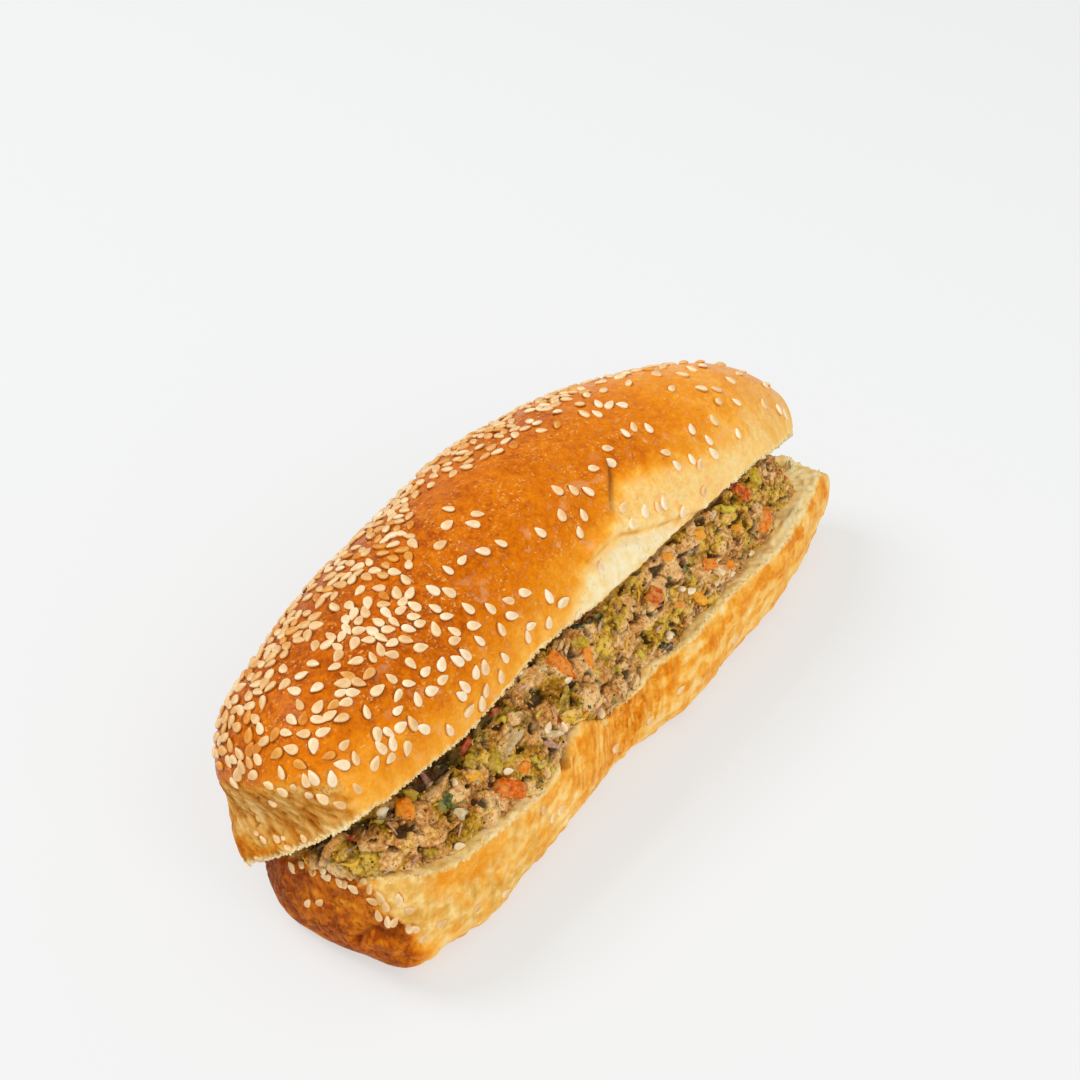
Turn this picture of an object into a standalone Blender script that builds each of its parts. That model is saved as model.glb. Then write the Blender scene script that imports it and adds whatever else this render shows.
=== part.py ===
"""A long sesame roll, slit open along its front and filled with tuna salad.

Three solids lie on each other: the heel of the roll, the filling and the crown.
The roll runs along X, with its blunt end at -X and its open side at -Y. Sizes
are in millimetres, and MM turns them into Blender's metres. A swell is a smooth
hill along the roll, written as its height, its place and its width.
"""

import math

import bpy
import bmesh
from mathutils import Matrix, Vector

MM = 0.001

# Heel: a flat-bottomed loaf half, squarest at its front corner near the blunt end
HEEL_NEAR, HEEL_FAR = -88.0, 101.5
HEEL_FRONT, HEEL_BACK = -35.6, 34.0
HEEL_BELLY = (1.2, -60.0, 16.0)
HEEL_WAIST = (3.2, -8.0, 16.0)
HEEL_TAPER_START, HEEL_TAPER = 45.0, 6.5
FOOT_LOBE = (2.0, -83.0, 6.0)
FOOT_HEIGHT = (1.0, 0.12, 0.25)
FAR_LEAN = 1.8
HEEL_BLUNTNESS, CORNER_BLUNTNESS, BACK_BLUNTNESS = 5.0, 8.0, 1.6
HEEL_SIDES = 112
# From the underside up: how far a ring is set in, and its share of the height
HEEL_WALL = (
    (5.5, 0.0),
    (3.4, 0.06),
    (1.6, 0.17),
    (0.5, 0.33),
    (0.0, 0.52),
    (0.4, 0.75),
    (1.3, 0.9),
    (2.6, 1.0),
)
UNDERSIDE_SCALES = (0.2, 0.6)
CUT_FACE_SCALES = (0.95, 0.88, 0.78, 0.6, 0.35, 0.12)

# The heel's cut face
HEEL_RIM, RIM_Y, FACE_SLOPE = 23.5, -32.0, 0.08
CORNER_SWELL = (6.5, -92.0, 18.0)
FLAP_SWELL = (4.5, -27.0, 8.0)
NEAR_DIP = 7.0

# The slit: where it ends at the back, and how wide it gapes at the front
SLIT = 0.6
SLIT_END, SLIT_END_NEAR, SLIT_END_FAR = 24.0, 20.0, 14.0
GAPE_Y = -22.0
NEAR_GAPE, MIDDLE_GAPE, FAR_GAPE = 12.0, 8.0, 0.8
GAPE_CLOSING = 7.0
GAPE_ROUNDING = 6.0

# Crown: the bigger half, tipped back on its closed edge
CROWN_NEAR, CROWN_FAR = -92.0, 96.5
CROWN_MIDDLE = 5.0
CROWN_FRONT, FRONT_DRAW = -24.5, 11.0
CROWN_HALF_WIDTH, CROWN_RISE = 31.0, 32.5
CROWN_WAIST, CROWN_SKIRT = 34.0, 26.0
NEAR_NARROWING, NEAR_LOWERING = 0.36, 0.44
CROWN_CORNER, FRONT_CORNER = 14.0, 4.0
CROWN_OVERHANG = 0.98
CROSSING_STEPS = 40
DOME_POINTS, UNDER_POINTS = 34, 12
NEAR_STATIONS, LONG_STATIONS, FAR_STATIONS = 6, 15, 17
END_FACE_SCALES = (0.15, 0.45, 0.75)

# The fold across the crown's blunt end, and the lip under it
FOLD_HEIGHT, FOLD_SLANT = 32.0, 0.5
FOLD_DEPTH, FOLD_WIDTH = 2.2, 4.5
LIP_DROP, LIP_DEPTH, LIP_WIDTH = 9.0, 0.8, 4.0

# Filling, and the room left between it and the bread
GAP = 0.6
FILLING_NEAR, FILLING_FAR = -86.0, 91.0
FILLING_LOW, FILLING_HIGH, FILLING_BACK = 3.6, 1.2, 7.0
FILLING_BULGE = 1.6
NEAR_ROUNDING, FAR_ROUNDING = 8.0, 14.0
FILLING_STEPS = 52
UNDER_STEPS, OPEN_STEPS, TOP_STEPS = 9, 7, 7


def smooth(start, end, value):
    """0 before start, 1 past end and a smooth change between them."""
    t = min(1.0, max(0.0, (value - start) / (end - start)))
    return t * t * (3 - 2 * t)


def height_of(swell, value):
    height, place, width = swell
    return height * math.exp(-(((value - place) / width) ** 2))


def quarter(distance, radius):
    """How far a rounded corner is set back, at a distance from where it ends."""
    if distance >= radius:
        return 0.0
    return radius - math.sqrt(radius ** 2 - (radius - distance) ** 2)


# ---- the two cut surfaces of the slit

def heel_face(x, y):
    """Height of the heel's cut face: high at the blunt front corner, low behind it."""
    z = HEEL_RIM - FACE_SLOPE * (y - RIM_Y)
    z += height_of(CORNER_SWELL, x) * smooth(-5, -25, y)
    z -= NEAR_DIP * smooth(-60, -92, x) * smooth(-12, 6, y)
    z += height_of(FLAP_SWELL, x) * smooth(-22, -31, y)
    return z


def slit_end(x):
    """Where the two halves of the roll meet behind the filling."""
    return SLIT_END - SLIT_END_NEAR * smooth(-50, -92, x) - SLIT_END_FAR * smooth(55, 98, x)


def crown_face(x, y):
    """Height of the crown's cut face, which gapes towards the front."""
    gape = NEAR_GAPE + MIDDLE_GAPE * smooth(-75, 0, x) + FAR_GAPE * smooth(0, 45, x)
    gape -= GAPE_CLOSING * smooth(62, 95, x)
    wide = gape * (slit_end(x) - y) / (slit_end(x) - GAPE_Y)
    return heel_face(x, y) + SLIT + 0.5 * (wide + math.hypot(wide, GAPE_ROUNDING))


# ---- heel

def heel_front(x):
    """Front of the heel, with a waist in the middle and a taper towards the far end."""
    y = HEEL_FRONT - height_of(HEEL_BELLY, x) + height_of(HEEL_WAIST, x)
    past = max(0.0, x - HEEL_TAPER_START) / (CROWN_FAR + 0.5 - HEEL_TAPER_START)
    return y + 3 * smooth(10, 45, x) + HEEL_TAPER * past ** 1.6


def heel_back(x):
    """Back of the heel, which comes forward towards both ends."""
    near = max(0.0, (5 - x) / 94) ** 3
    far = max(0.0, (x - 10) / 87) ** 3.2
    return HEEL_BACK - 22 * near - 36 * far


def heel_ring(inset, level, scale=1.0):
    """A ring of the heel, set in from its outline, at a share of its cut face's height."""
    ring = []
    middle, half_length = (HEEL_NEAR + HEEL_FAR) / 2, (HEEL_FAR - HEEL_NEAR) / 2 - inset
    for i in range(HEEL_SIDES):
        angle = 2 * math.pi * i / HEEL_SIDES
        along, across = 0.45 * math.cos(angle), math.sin(angle)
        corner = smooth(0.1, -0.1, along) * smooth(0.2, -0.2, across)
        blunt = HEEL_BLUNTNESS + CORNER_BLUNTNESS * corner
        blunt -= BACK_BLUNTNESS * smooth(-0.2, 0.2, across)
        reach = (abs(along) ** blunt + abs(across) ** blunt) ** (1 / blunt)
        x = middle + along / reach * half_length * scale
        centre = (heel_front(x) + heel_back(x)) / 2
        half_width = (heel_back(x) - heel_front(x)) / 2 - inset
        y = centre + across / reach * half_width * scale
        foot = height_of(FOOT_LOBE, x) * smooth(-24, -34, y) * height_of(FOOT_HEIGHT, level)
        lean = FAR_LEAN * smooth(10, 45, x) * smooth(0.5, 1, level) * smooth(0, -0.4, across)
        y -= (foot + lean) * smooth(0.7, 1, scale)
        ring.append(Vector((x, y, level * heel_face(x, y))))
    return ring


def make_heel():
    bottom_inset, bottom_level = HEEL_WALL[0]
    top_inset, top_level = HEEL_WALL[-1]
    rings = [heel_ring(bottom_inset, bottom_level, scale) for scale in UNDERSIDE_SCALES]
    rings += [heel_ring(inset, level) for inset, level in HEEL_WALL]
    rings += [heel_ring(top_inset, top_level, scale) for scale in CUT_FACE_SCALES]
    return solid_of_rings("bun_heel", rings, (0.75, 0.45, 0.15, 1))


# ---- crown

def crown_section_size(x):
    """Front, back and top of the crown's dome at a place along the roll."""
    if x < CROWN_MIDDLE:
        t = (CROWN_MIDDLE - x) / (CROWN_MIDDLE - CROWN_NEAR)
        width, rise = 1 - NEAR_NARROWING * t ** 1.7, 1 - NEAR_LOWERING * t ** 1.5
    else:
        t = min(1.0, (x - CROWN_MIDDLE) / (CROWN_FAR - CROWN_MIDDLE))
        width, rise = (1 - t ** 2.3) ** 0.46, (1 - t ** 2.0) ** 0.5
    distance = x - CROWN_NEAR
    front = CROWN_FRONT + FRONT_DRAW * smooth(55, 100, x)
    back = front + 2 * CROWN_HALF_WIDTH * width - quarter(distance, CROWN_CORNER)
    front += quarter(distance, FRONT_CORNER)
    top = CROWN_WAIST + CROWN_RISE * rise - quarter(distance, CROWN_CORNER)
    return front, back, top


def crown_skin(x, angle):
    """A point of the crust round one section: angle 0 at the back, a quarter turn at the top."""
    front, back, top = crown_section_size(x)
    cosine, sine = math.cos(angle), math.sin(angle)
    below = sine < 0
    across = math.copysign(abs(cosine) ** (0.6 if below else 1.0), cosine)
    height = CROWN_SKIRT if below else top - CROWN_WAIST
    return (front + back) / 2 + (back - front) / 2 * across, CROWN_WAIST + height * sine


def crossing(x, outward):
    """The angle at which a section's crust reaches the cut face, on the side asked for."""
    inside, outside = math.pi / 2, math.pi / 2 + outward * math.pi * CROWN_OVERHANG
    for _ in range(CROSSING_STEPS):
        middle = (inside + outside) / 2
        y, z = crown_skin(x, middle)
        if z > crown_face(x, y):
            inside = middle
        else:
            outside = middle
    return inside


def crown_section(x):
    """A closed section: over the dome from the front edge, and back under it."""
    front_angle, back_angle = crossing(x, 1), crossing(x, -1)
    section = []
    for i in range(DOME_POINTS):
        angle = front_angle + (back_angle - front_angle) * i / (DOME_POINTS - 1)
        section.append(Vector((x, *crown_skin(x, angle))))
    front_y, back_y = section[0].y, section[-1].y
    for i in range(1, UNDER_POINTS + 1):
        y = back_y + (front_y - back_y) * i / (UNDER_POINTS + 1)
        section.append(Vector((x, y, crown_face(x, y))))
    return section


def crown_stations():
    """Places of the sections, close together where the ends curve."""
    quarter_turn = math.pi / 2
    start = CROWN_NEAR + CROWN_CORNER
    near = [start - CROWN_CORNER * math.cos(quarter_turn * i / NEAR_STATIONS)
            for i in range(NEAR_STATIONS + 1)]
    straight = [start + (CROWN_MIDDLE - start) * i / LONG_STATIONS
                for i in range(1, LONG_STATIONS + 1)]
    far = [CROWN_MIDDLE + (CROWN_FAR - CROWN_MIDDLE) * math.sin(quarter_turn * i / FAR_STATIONS)
           for i in range(1, FAR_STATIONS)]
    return near + straight + far


def fold_in(point):
    """Press the fold into the blunt end, which slants over the lip above the cut edge."""
    middle = FOLD_HEIGHT - FOLD_SLANT * point.y
    press = height_of((FOLD_DEPTH, middle, FOLD_WIDTH), point.z)
    press -= height_of((LIP_DEPTH, middle - LIP_DROP, LIP_WIDTH), point.z)
    return point + Vector((press * smooth(-82, -91, point.x), 0, 0))


def make_crown():
    sections = [crown_section(x) for x in crown_stations()]
    end = sections[0]
    centre = sum(end, Vector()) / len(end)
    face = [[centre + (point - centre) * scale for point in end] for scale in END_FACE_SCALES]
    rings = [[fold_in(point) for point in ring] for ring in face + sections]
    return solid_of_rings("bun_crown", rings, (0.7, 0.35, 0.08, 1))


# ---- filling

def lump(x, share):
    """Unevenness of the filling's open face."""
    slow = math.sin(0.11 * x + 1.3) * math.cos(0.23 * x - 2.1 * share)
    quick = math.sin(0.47 * x + 5.0 * share) * math.cos(0.31 * x - 3.0 * share + 0.7)
    return 1.1 * slow + 0.8 * quick


def filling_edges(x):
    """Low edge on the heel, high edge under the crown and back edge, drawn in at both ends."""
    low = heel_front(x) + FILLING_LOW
    high = crown_skin(x, crossing(x, 1))[0] + FILLING_HIGH
    back = slit_end(x) - FILLING_BACK
    middle = (high + back) / 2
    width = 1 - quarter(x - FILLING_NEAR, NEAR_ROUNDING) / 16
    width -= quarter(FILLING_FAR - x, FAR_ROUNDING) / 20
    return [middle + (edge - middle) * width for edge in (low, high, back)]


def filling_section(x):
    """A closed section between the two cut faces, bulging at the front."""
    low, high, back = filling_edges(x)
    section = []
    for i in range(UNDER_STEPS + 1):
        y = low + (back - low) * (1 - i / UNDER_STEPS) ** 2
        section.append(Vector((x, y, heel_face(x, y) + GAP)))
    for i in range(1, OPEN_STEPS):
        share = i / OPEN_STEPS
        bulge = FILLING_BULGE * math.sin(math.pi * share)
        y = low + (high - low) * share - bulge + lump(x, share)
        bottom, top = heel_face(x, y) + GAP, crown_face(x, high) - GAP
        section.append(Vector((x, y, bottom + (top - bottom) * share)))
    for i in range(TOP_STEPS + 1):
        y = high + (back - high) * i / TOP_STEPS
        section.append(Vector((x, y, crown_face(x, y) - GAP)))
    return section


def make_filling():
    length = FILLING_FAR - FILLING_NEAR
    stations = [FILLING_NEAR + length * i / FILLING_STEPS for i in range(FILLING_STEPS + 1)]
    sections = [filling_section(x) for x in stations]
    return solid_of_rings("tuna_filling", sections, (0.4, 0.3, 0.17, 1))


# ---- solids

def solid_of_rings(name, rings, colour):
    """A closed body through rings of equal length, with a fan over the first and the last."""
    mesh = bmesh.new()
    loops = [[mesh.verts.new(point * MM) for point in ring] for ring in rings]
    sides = len(rings[0])
    for low, high in zip(loops, loops[1:]):
        for i in range(sides):
            j = (i + 1) % sides
            mesh.faces.new((low[i], low[j], high[j], high[i]))
    for loop in (loops[0], loops[-1]):
        pole = mesh.verts.new(sum((v.co for v in loop), Vector()) / sides)
        for i in range(sides):
            mesh.faces.new((loop[i], loop[(i + 1) % sides], pole))
    bmesh.ops.recalc_face_normals(mesh, faces=mesh.faces)
    data = bpy.data.meshes.new(name)
    mesh.to_mesh(data)
    mesh.free()
    data.shade_smooth()
    data.materials.append(crumb_material(name, colour))
    thing = bpy.data.objects.new(name, data)
    bpy.context.scene.collection.objects.link(thing)
    return thing


def crumb_material(name, colour):
    material = bpy.data.materials.new(name)
    material.use_nodes = True
    shader = material.node_tree.nodes["Principled BSDF"]
    shader.inputs["Base Color"].default_value = colour
    shader.inputs["Roughness"].default_value = 0.6
    return material


def centre_on_base(things):
    """Move the meshes so that the middle of the whole roll's underside is at the origin."""
    points = [vertex.co for thing in things for vertex in thing.data.vertices]
    low = Vector([min(point[axis] for point in points) for axis in range(3)])
    high = Vector([max(point[axis] for point in points) for axis in range(3)])
    shift = Matrix.Translation((-(low.x + high.x) / 2, -(low.y + high.y) / 2, -low.z))
    for thing in things:
        thing.data.transform(shift)


def main():
    for old in list(bpy.data.objects):
        bpy.data.objects.remove(old)
    centre_on_base([make_heel(), make_filling(), make_crown()])


main()
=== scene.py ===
import math
import random

import bmesh
import bpy
import numpy as np
from mathutils import Matrix, Vector, noise
from mathutils.bvhtree import BVHTree
from mathutils.kdtree import KDTree


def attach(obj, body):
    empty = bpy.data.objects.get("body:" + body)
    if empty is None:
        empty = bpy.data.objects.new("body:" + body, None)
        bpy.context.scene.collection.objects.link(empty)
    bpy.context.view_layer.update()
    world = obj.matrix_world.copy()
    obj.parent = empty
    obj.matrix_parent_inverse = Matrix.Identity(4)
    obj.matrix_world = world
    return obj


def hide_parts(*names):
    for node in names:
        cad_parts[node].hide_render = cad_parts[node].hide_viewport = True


# A long sesame roll filled with tuna salad. It lies along X, and its open side faces -Y.
# Lengths are in millimetres. Pixels are those of the photograph, 1080 each way.

mm = 0.001
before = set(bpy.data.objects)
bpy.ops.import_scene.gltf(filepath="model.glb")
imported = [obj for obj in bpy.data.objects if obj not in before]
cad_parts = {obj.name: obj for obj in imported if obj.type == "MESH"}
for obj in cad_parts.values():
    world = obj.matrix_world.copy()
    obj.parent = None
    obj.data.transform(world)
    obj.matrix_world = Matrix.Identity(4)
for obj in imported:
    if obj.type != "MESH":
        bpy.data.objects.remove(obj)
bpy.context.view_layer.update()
bpy.ops.object.select_all(action="DESELECT")
dice = random.Random(7)

view = {
    "place": (-245.26, -182.37, 262.04),
    "turn": -53.0,            # degrees about Z, 0 looks along +Y
    "lookDown": 35.7,         # degrees below level
    "angle": 36.0,            # degrees across the square picture
    "photoSize": 1080,
}
halfView = math.tan(math.radians(view["angle"] / 2))       # half the picture's width, one unit away

studio = {
    "worldStrength": 0.58,
    "keyPlace": (-450, 900, 1400),
    "keySize": 600,
    "keyPower": 13.0,         # watts
    "fillPlace": (-500, -1300, 1200),
    "fillSize": 1400,
    "fillPower": 13.0,        # watts
    "floorSize": 6000,
    "floorColour": (152, 152, 154),
    "floorGlow": 0.55,        # light of its own, which keeps the shadow faint
}


def toLinear(colour):
    # an RGB colour from 0 to 255, as seen, to the linear one that a shader takes
    return tuple(((c / 255 + 0.055) / 1.055) ** 2.4 if c > 10 else c / 255 / 12.92 for c in colour) + (1.0,)


def setCamera():
    bpy.ops.object.camera_add(
        location=[value * mm for value in view["place"]],
        rotation=(math.radians(90 - view["lookDown"]), 0, math.radians(view["turn"])))
    camera = bpy.context.object
    camera.name = "photoCamera"
    camera.data.sensor_width = 36
    camera.data.lens = camera.data.sensor_width / 2 / halfView
    camera.data.clip_start = 0.01
    bpy.context.scene.camera = camera
    bpy.context.view_layer.update()
    return camera


def addLight(name, place, size, power):
    bpy.ops.object.light_add(type="AREA", location=[value * mm for value in place])
    light = bpy.context.object
    light.name = name
    light.data.size = size * mm
    light.data.energy = power
    light.rotation_euler = Vector(place).to_track_quat("Z", "Y").to_euler()


def makeStudio():
    scene = bpy.context.scene
    scene.view_settings.view_transform = "Standard"
    scene.world = bpy.data.worlds.new("studio")
    scene.world.use_nodes = True
    background = scene.world.node_tree.nodes["Background"]
    background.inputs["Color"].default_value = (1, 1, 1, 1)
    background.inputs["Strength"].default_value = studio["worldStrength"]
    addLight("keyLight", studio["keyPlace"], studio["keySize"], studio["keyPower"])
    addLight("fillLight", studio["fillPlace"], studio["fillSize"], studio["fillPower"])
    bpy.ops.mesh.primitive_plane_add(size=studio["floorSize"] * mm)
    floor = bpy.context.object
    floor.name = "floor"
    material = bpy.data.materials.new("paleFloor")
    material.use_nodes = True
    shader = material.node_tree.nodes["Principled BSDF"]
    shader.inputs["Base Color"].default_value = toLinear(studio["floorColour"])
    shader.inputs["Roughness"].default_value = 0.9
    shader.inputs["Specular IOR Level"].default_value = 0.1
    shader.inputs["Emission Color"].default_value = (0.985, 1, 0.98, 1)
    shader.inputs["Emission Strength"].default_value = studio["floorGlow"]
    floor.data.materials.append(material)


camera = setCamera()
makeStudio()
print("camera, lights and floor are set")


def pointsOf(piece):           # in millimetres
    flat = np.empty(len(piece.data.vertices) * 3)
    piece.data.vertices.foreach_get("co", flat)
    return flat.reshape(-1, 3) / mm


def setPoints(piece, points):
    piece.data.vertices.foreach_set("co", (points * mm).ravel())
    piece.data.update()


def normalsOf(piece):
    flat = np.empty(len(piece.data.vertices) * 3)
    piece.data.vertex_normals.foreach_get("vector", flat)
    return flat.reshape(-1, 3)


def paint(piece, name, values):
    layer = piece.data.attributes.get(name) or piece.data.attributes.new(name, "FLOAT", "POINT")
    layer.data.foreach_set("value", np.asarray(values, np.float32))


def painted(piece, name):
    values = np.empty(len(piece.data.vertices), np.float32)
    piece.data.attributes[name].data.foreach_get("value", values)
    return values


def ease(start, end, values):
    # 0 before start, 1 past end, smooth between them
    t = np.clip((values - start) / (end - start), 0, 1)
    return t * t * (3 - 2 * t)


def hill(values, centre, width):
    return np.exp(-((values - centre) / width) ** 2)


def mixed(values, share, other):
    return values * (1 - share) + other * share


def cloud(points, size, seed=0.0):
    # smooth noise about 0 at each point; size is one number, or one for each axis
    scaled = points / np.asarray(size, float) + seed
    return np.array([noise.noise(p) for p in scaled.tolist()])


def cells(points, size, seed=0.0):
    # distances to the nearest and the next of many scattered points, in cell sizes
    scaled = points / np.asarray(size, float) + seed
    return np.array([noise.voronoi(p)[0][:2] for p in scaled.tolist()])


def stirred(points, size, reach, seed):
    # points moved about at random, so that a pattern read at them loses its order
    return points + reach * np.stack([cloud(points, size, seed + shift) for shift in (0.0, 11.3, 23.7)], 1)


def photoRay(pixel):
    # where the camera is, and the direction in which it sees a pixel of the photograph
    across = (pixel[0] / view["photoSize"] * 2 - 1) * halfView
    up = (1 - pixel[1] / view["photoSize"] * 2) * halfView
    turned = camera.matrix_world.to_3x3() @ Vector((across, up, -1))
    return camera.matrix_world.translation.copy(), turned.normalized()


def toPhoto(points):
    # where points fall in the photograph
    eye, turned = np.array(camera.matrix_world.translation), np.array(camera.matrix_world.to_3x3())
    local = (points * mm - eye) @ turned
    flat = local[:, :2] / -local[:, 2:3] / halfView
    return (flat * (1, -1) + 1) * view["photoSize"] / 2


def pixelAt(depth):            # how wide a pixel of the photograph is at that depth
    return depth * 2 * halfView / view["photoSize"]


def towardsCamera(points, normals):
    return ((np.array(view["place"]) - points) * normals).sum(1) > 0


def landing(tree, pixel):
    # the point and the normal that a pixel of the photograph falls on
    place, normal, _, _ = tree.ray_cast(*photoRay(pixel))
    return (None, None) if place is None else (place / mm, normal)


def lineOn(tree, pixels, steps=24):
    # a path drawn over the photograph, laid on the surface under it
    laid = []
    for start, end in zip(pixels, pixels[1:]):
        for i in range(steps):
            place, _ = landing(tree, [a + (b - a) * i / steps for a, b in zip(start, end)])
            if place is not None:
                laid.append(place)
    return laid


def searchTree(places):
    tree = KDTree(len(places))
    for i, place in enumerate(places):
        tree.insert(place, i)
    tree.balance()
    return tree


def nearLine(points, line):
    # the distance from each point to a path, and the path's nearest point
    tree = searchTree(line)
    found = [tree.find(p) for p in points.tolist()]
    return np.array([f[2] for f in found]), np.array([tuple(f[0]) for f in found])


def stepTo(flat, a, b):
    # from each place in the photograph to the nearest one on the line from a to b
    along = np.clip(((flat - a) @ (b - a)) / ((b - a) @ (b - a)), 0, 1)
    return a + along[:, None] * (b - a) - flat


def pulledTo(points, edge, pixels, reach, farthest=32, level=False):
    # moves an edge, and what lies near it, to a line drawn over the photograph; level keeps the heights
    corners = np.array(pixels, float)
    flat = toPhoto(edge)
    best, shift = np.full(len(edge), 1e9), np.zeros((len(edge), 2))
    for a, b in zip(corners, corners[1:]):
        step = stepTo(flat, a, b)
        away = np.linalg.norm(step, axis=1)
        closer = away < best
        best[closer], shift[closer] = away[closer], step[closer]
    edge, shift = edge[best < farthest], shift[best < farthest]
    turned = np.array(camera.matrix_world.to_3x3())
    pixel = pixelAt((edge - np.array(view["place"])) @ -turned[:, 2])
    down = -turned[:, 1]
    if level:
        down = turned[:, 2] * (1, 1, 0) / np.linalg.norm(turned[:2, 2]) / turned[2, 2]
    moves = (shift[:, :1] * turned[:, 0] + shift[:, 1:] * down) * pixel[:, None]
    tree = searchTree(edge.tolist())
    moved = points.copy()
    for i, p in enumerate(points.tolist()):
        found = tree.find_n(p, 9)
        if found[0][2] < reach:
            weights = np.array([1 / (0.5 + f[2]) for f in found])
            share = 1 - found[0][2] / reach
            move = (moves[[f[1] for f in found]] * weights[:, None]).sum(0) / weights.sum()
            moved[i] += move * share * share * (3 - 2 * share)
    return moved


def insideOutline(flat, outline, soft):
    # 1 inside an outline and 0 outside it, with a soft border
    corners = np.array(outline, float)
    inside = np.zeros(len(flat), bool)
    nearest = np.full(len(flat), 1e9)
    for a, b in zip(corners, np.roll(corners, -1, 0)):
        nearest = np.minimum(nearest, np.linalg.norm(stepTo(flat, a, b), axis=1))
        crosses = (a[1] > flat[:, 1]) != (b[1] > flat[:, 1])
        slope = (b[0] - a[0]) / ((b[1] - a[1]) or 1e-9)
        inside ^= crosses & (flat[:, 0] < a[0] + slope * (flat[:, 1] - a[1]))
    return ease(-soft, soft, np.where(inside, nearest, -nearest))


def only(piece):
    bpy.ops.object.select_all(action="DESELECT")
    piece.select_set(True)
    bpy.context.view_layer.objects.active = piece


def editAll():
    bpy.ops.object.mode_set(mode="EDIT")
    bpy.ops.mesh.select_all(action="SELECT")


def finishWith(piece, kind, **settings):
    only(piece)
    modifier = piece.modifiers.new(kind.lower(), kind)
    for key, value in settings.items():
        setattr(modifier, key, value)
    bpy.ops.object.modifier_apply(modifier=modifier.name)


def copyOfNode(cadName, name):
    piece = bpy.data.objects.new(name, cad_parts[cadName].data.copy())
    bpy.context.scene.collection.objects.link(piece)
    piece.data.materials.clear()
    only(piece)
    editAll()
    bpy.ops.mesh.customdata_custom_splitnormals_clear()
    bpy.ops.mesh.remove_doubles(threshold=0.01 * mm)
    bpy.ops.mesh.tris_convert_to_quads()
    bpy.ops.object.mode_set(mode="OBJECT")
    return piece


def refine(piece, chosen):
    # splits the faces at the chosen points into four
    vertices = np.empty(len(piece.data.loops), np.int32)
    piece.data.loops.foreach_get("vertex_index", vertices)
    starts = np.empty(len(piece.data.polygons), np.int32)
    piece.data.polygons.foreach_get("loop_start", starts)
    only(piece)
    bpy.ops.object.mode_set(mode="EDIT")
    bpy.ops.mesh.select_mode(type="FACE")
    bpy.ops.mesh.select_all(action="DESELECT")
    bpy.ops.object.mode_set(mode="OBJECT")
    piece.data.polygons.foreach_set("select", chosen[vertices[starts]])
    bpy.ops.object.mode_set(mode="EDIT")
    bpy.ops.mesh.subdivide(number_cuts=1)
    bpy.ops.object.mode_set(mode="OBJECT")


def treeOf(piece):
    mesh = bmesh.new()
    mesh.from_mesh(piece.data)
    tree = BVHTree.FromBMesh(mesh)
    mesh.free()
    return tree


def distanceTo(tree, points):
    return np.array([tree.find_nearest(Vector(p) * mm)[3] for p in points.tolist()]) / mm


def findCutFace(piece, start, sharpest=35.0, crease=0.9, step=0.7):
    # the faces reached from the one nearest start without crossing a sharp edge, and their border
    mesh = bmesh.new()
    mesh.from_mesh(piece.data)
    mesh.faces.ensure_lookup_table()
    tree = BVHTree.FromBMesh(mesh)
    first = tree.find_nearest(Vector(start) * mm)[2]
    inside, queue, border = {first}, [mesh.faces[first]], []
    creases = mesh.edges.layers.float.new("crease_edge")
    while queue:
        for edge in queue.pop().edges:
            if edge.calc_face_angle(0) > math.radians(sharpest):
                edge[creases] = crease
                a, b = (v.co / mm for v in edge.verts)
                steps = max(1, round((b - a).length / step))
                border += [a.lerp(b, i / steps) for i in range(steps)]
                continue
            for face in edge.link_faces:
                if face.index not in inside:
                    inside.add(face.index)
                    queue.append(face)
    mesh.to_mesh(piece.data)
    mesh.free()
    return tree, inside, border


def remesh(piece, levels, voxel, rounds):
    # rounds the piece off and gives it even faces, voxel millimetres wide
    finishWith(piece, "SUBSURF", levels=levels, render_levels=levels)
    finishWith(piece, "REMESH", mode="VOXEL", voxel_size=voxel * mm)
    finishWith(piece, "SMOOTH", factor=0.5, iterations=rounds)


def makeBread(cadName, name, look, needsDetail):
    # a smooth fine copy of one half of the roll; its points, which of them are on the cut face, how far
    # they are from its border, and the border
    piece = copyOfNode(cadName, name)
    tree, cutFaces, border = findCutFace(piece, look["cutStart"])
    remesh(piece, 2, look["voxel"], 4)
    points = pointsOf(piece)
    refine(piece, needsDetail(points, nearLine(points, border)[0]))
    points = pointsOf(piece)
    onCut = np.array([tree.find_nearest(Vector(p) * mm)[2] in cutFaces for p in points.tolist()])
    return piece, points, onCut.astype(float), nearLine(points, border)[0], border


def shadeSmooth(piece):
    only(piece)
    bpy.ops.object.shade_smooth()


def placeIn(piece, slot, *nodes):
    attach(piece, "root")
    if nodes:
        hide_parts(*nodes)


def node(tree, kind, inputs=None, **settings):
    made = tree.nodes.new("ShaderNode" + kind)
    for key, value in settings.items():
        setattr(made, key, value)
    for key, value in (inputs or {}).items():
        if isinstance(value, bpy.types.NodeSocket):
            tree.links.new(value, made.inputs[key])
        else:
            made.inputs[key].default_value = value
    return made


def newMaterial(name):
    material = bpy.data.materials.new(name)
    material.use_nodes = True
    tree = material.node_tree
    return material, tree, tree.nodes["Principled BSDF"], node(tree, "TexCoord").outputs["Object"]


def attribute(tree, name):
    return node(tree, "Attribute", attribute_name=name).outputs["Fac"]


def grain(tree, where, size, detail=3.0, rough=0.55, twist=0.0):
    # noise from 0 to 1 whose patches are about size millimetres wide
    return node(tree, "TexNoise", {"Vector": where, "Scale": 1000 / size, "Detail": detail,
                                   "Roughness": rough, "Distortion": twist}).outputs["Fac"]


def maths(tree, operation, a, b=0.0, clamp=False):
    return node(tree, "Math", {0: a, 1: b}, operation=operation, use_clamp=clamp).outputs[0]


def plus(tree, a, b, clamp=False):
    return maths(tree, "ADD", a, b, clamp)


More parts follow.
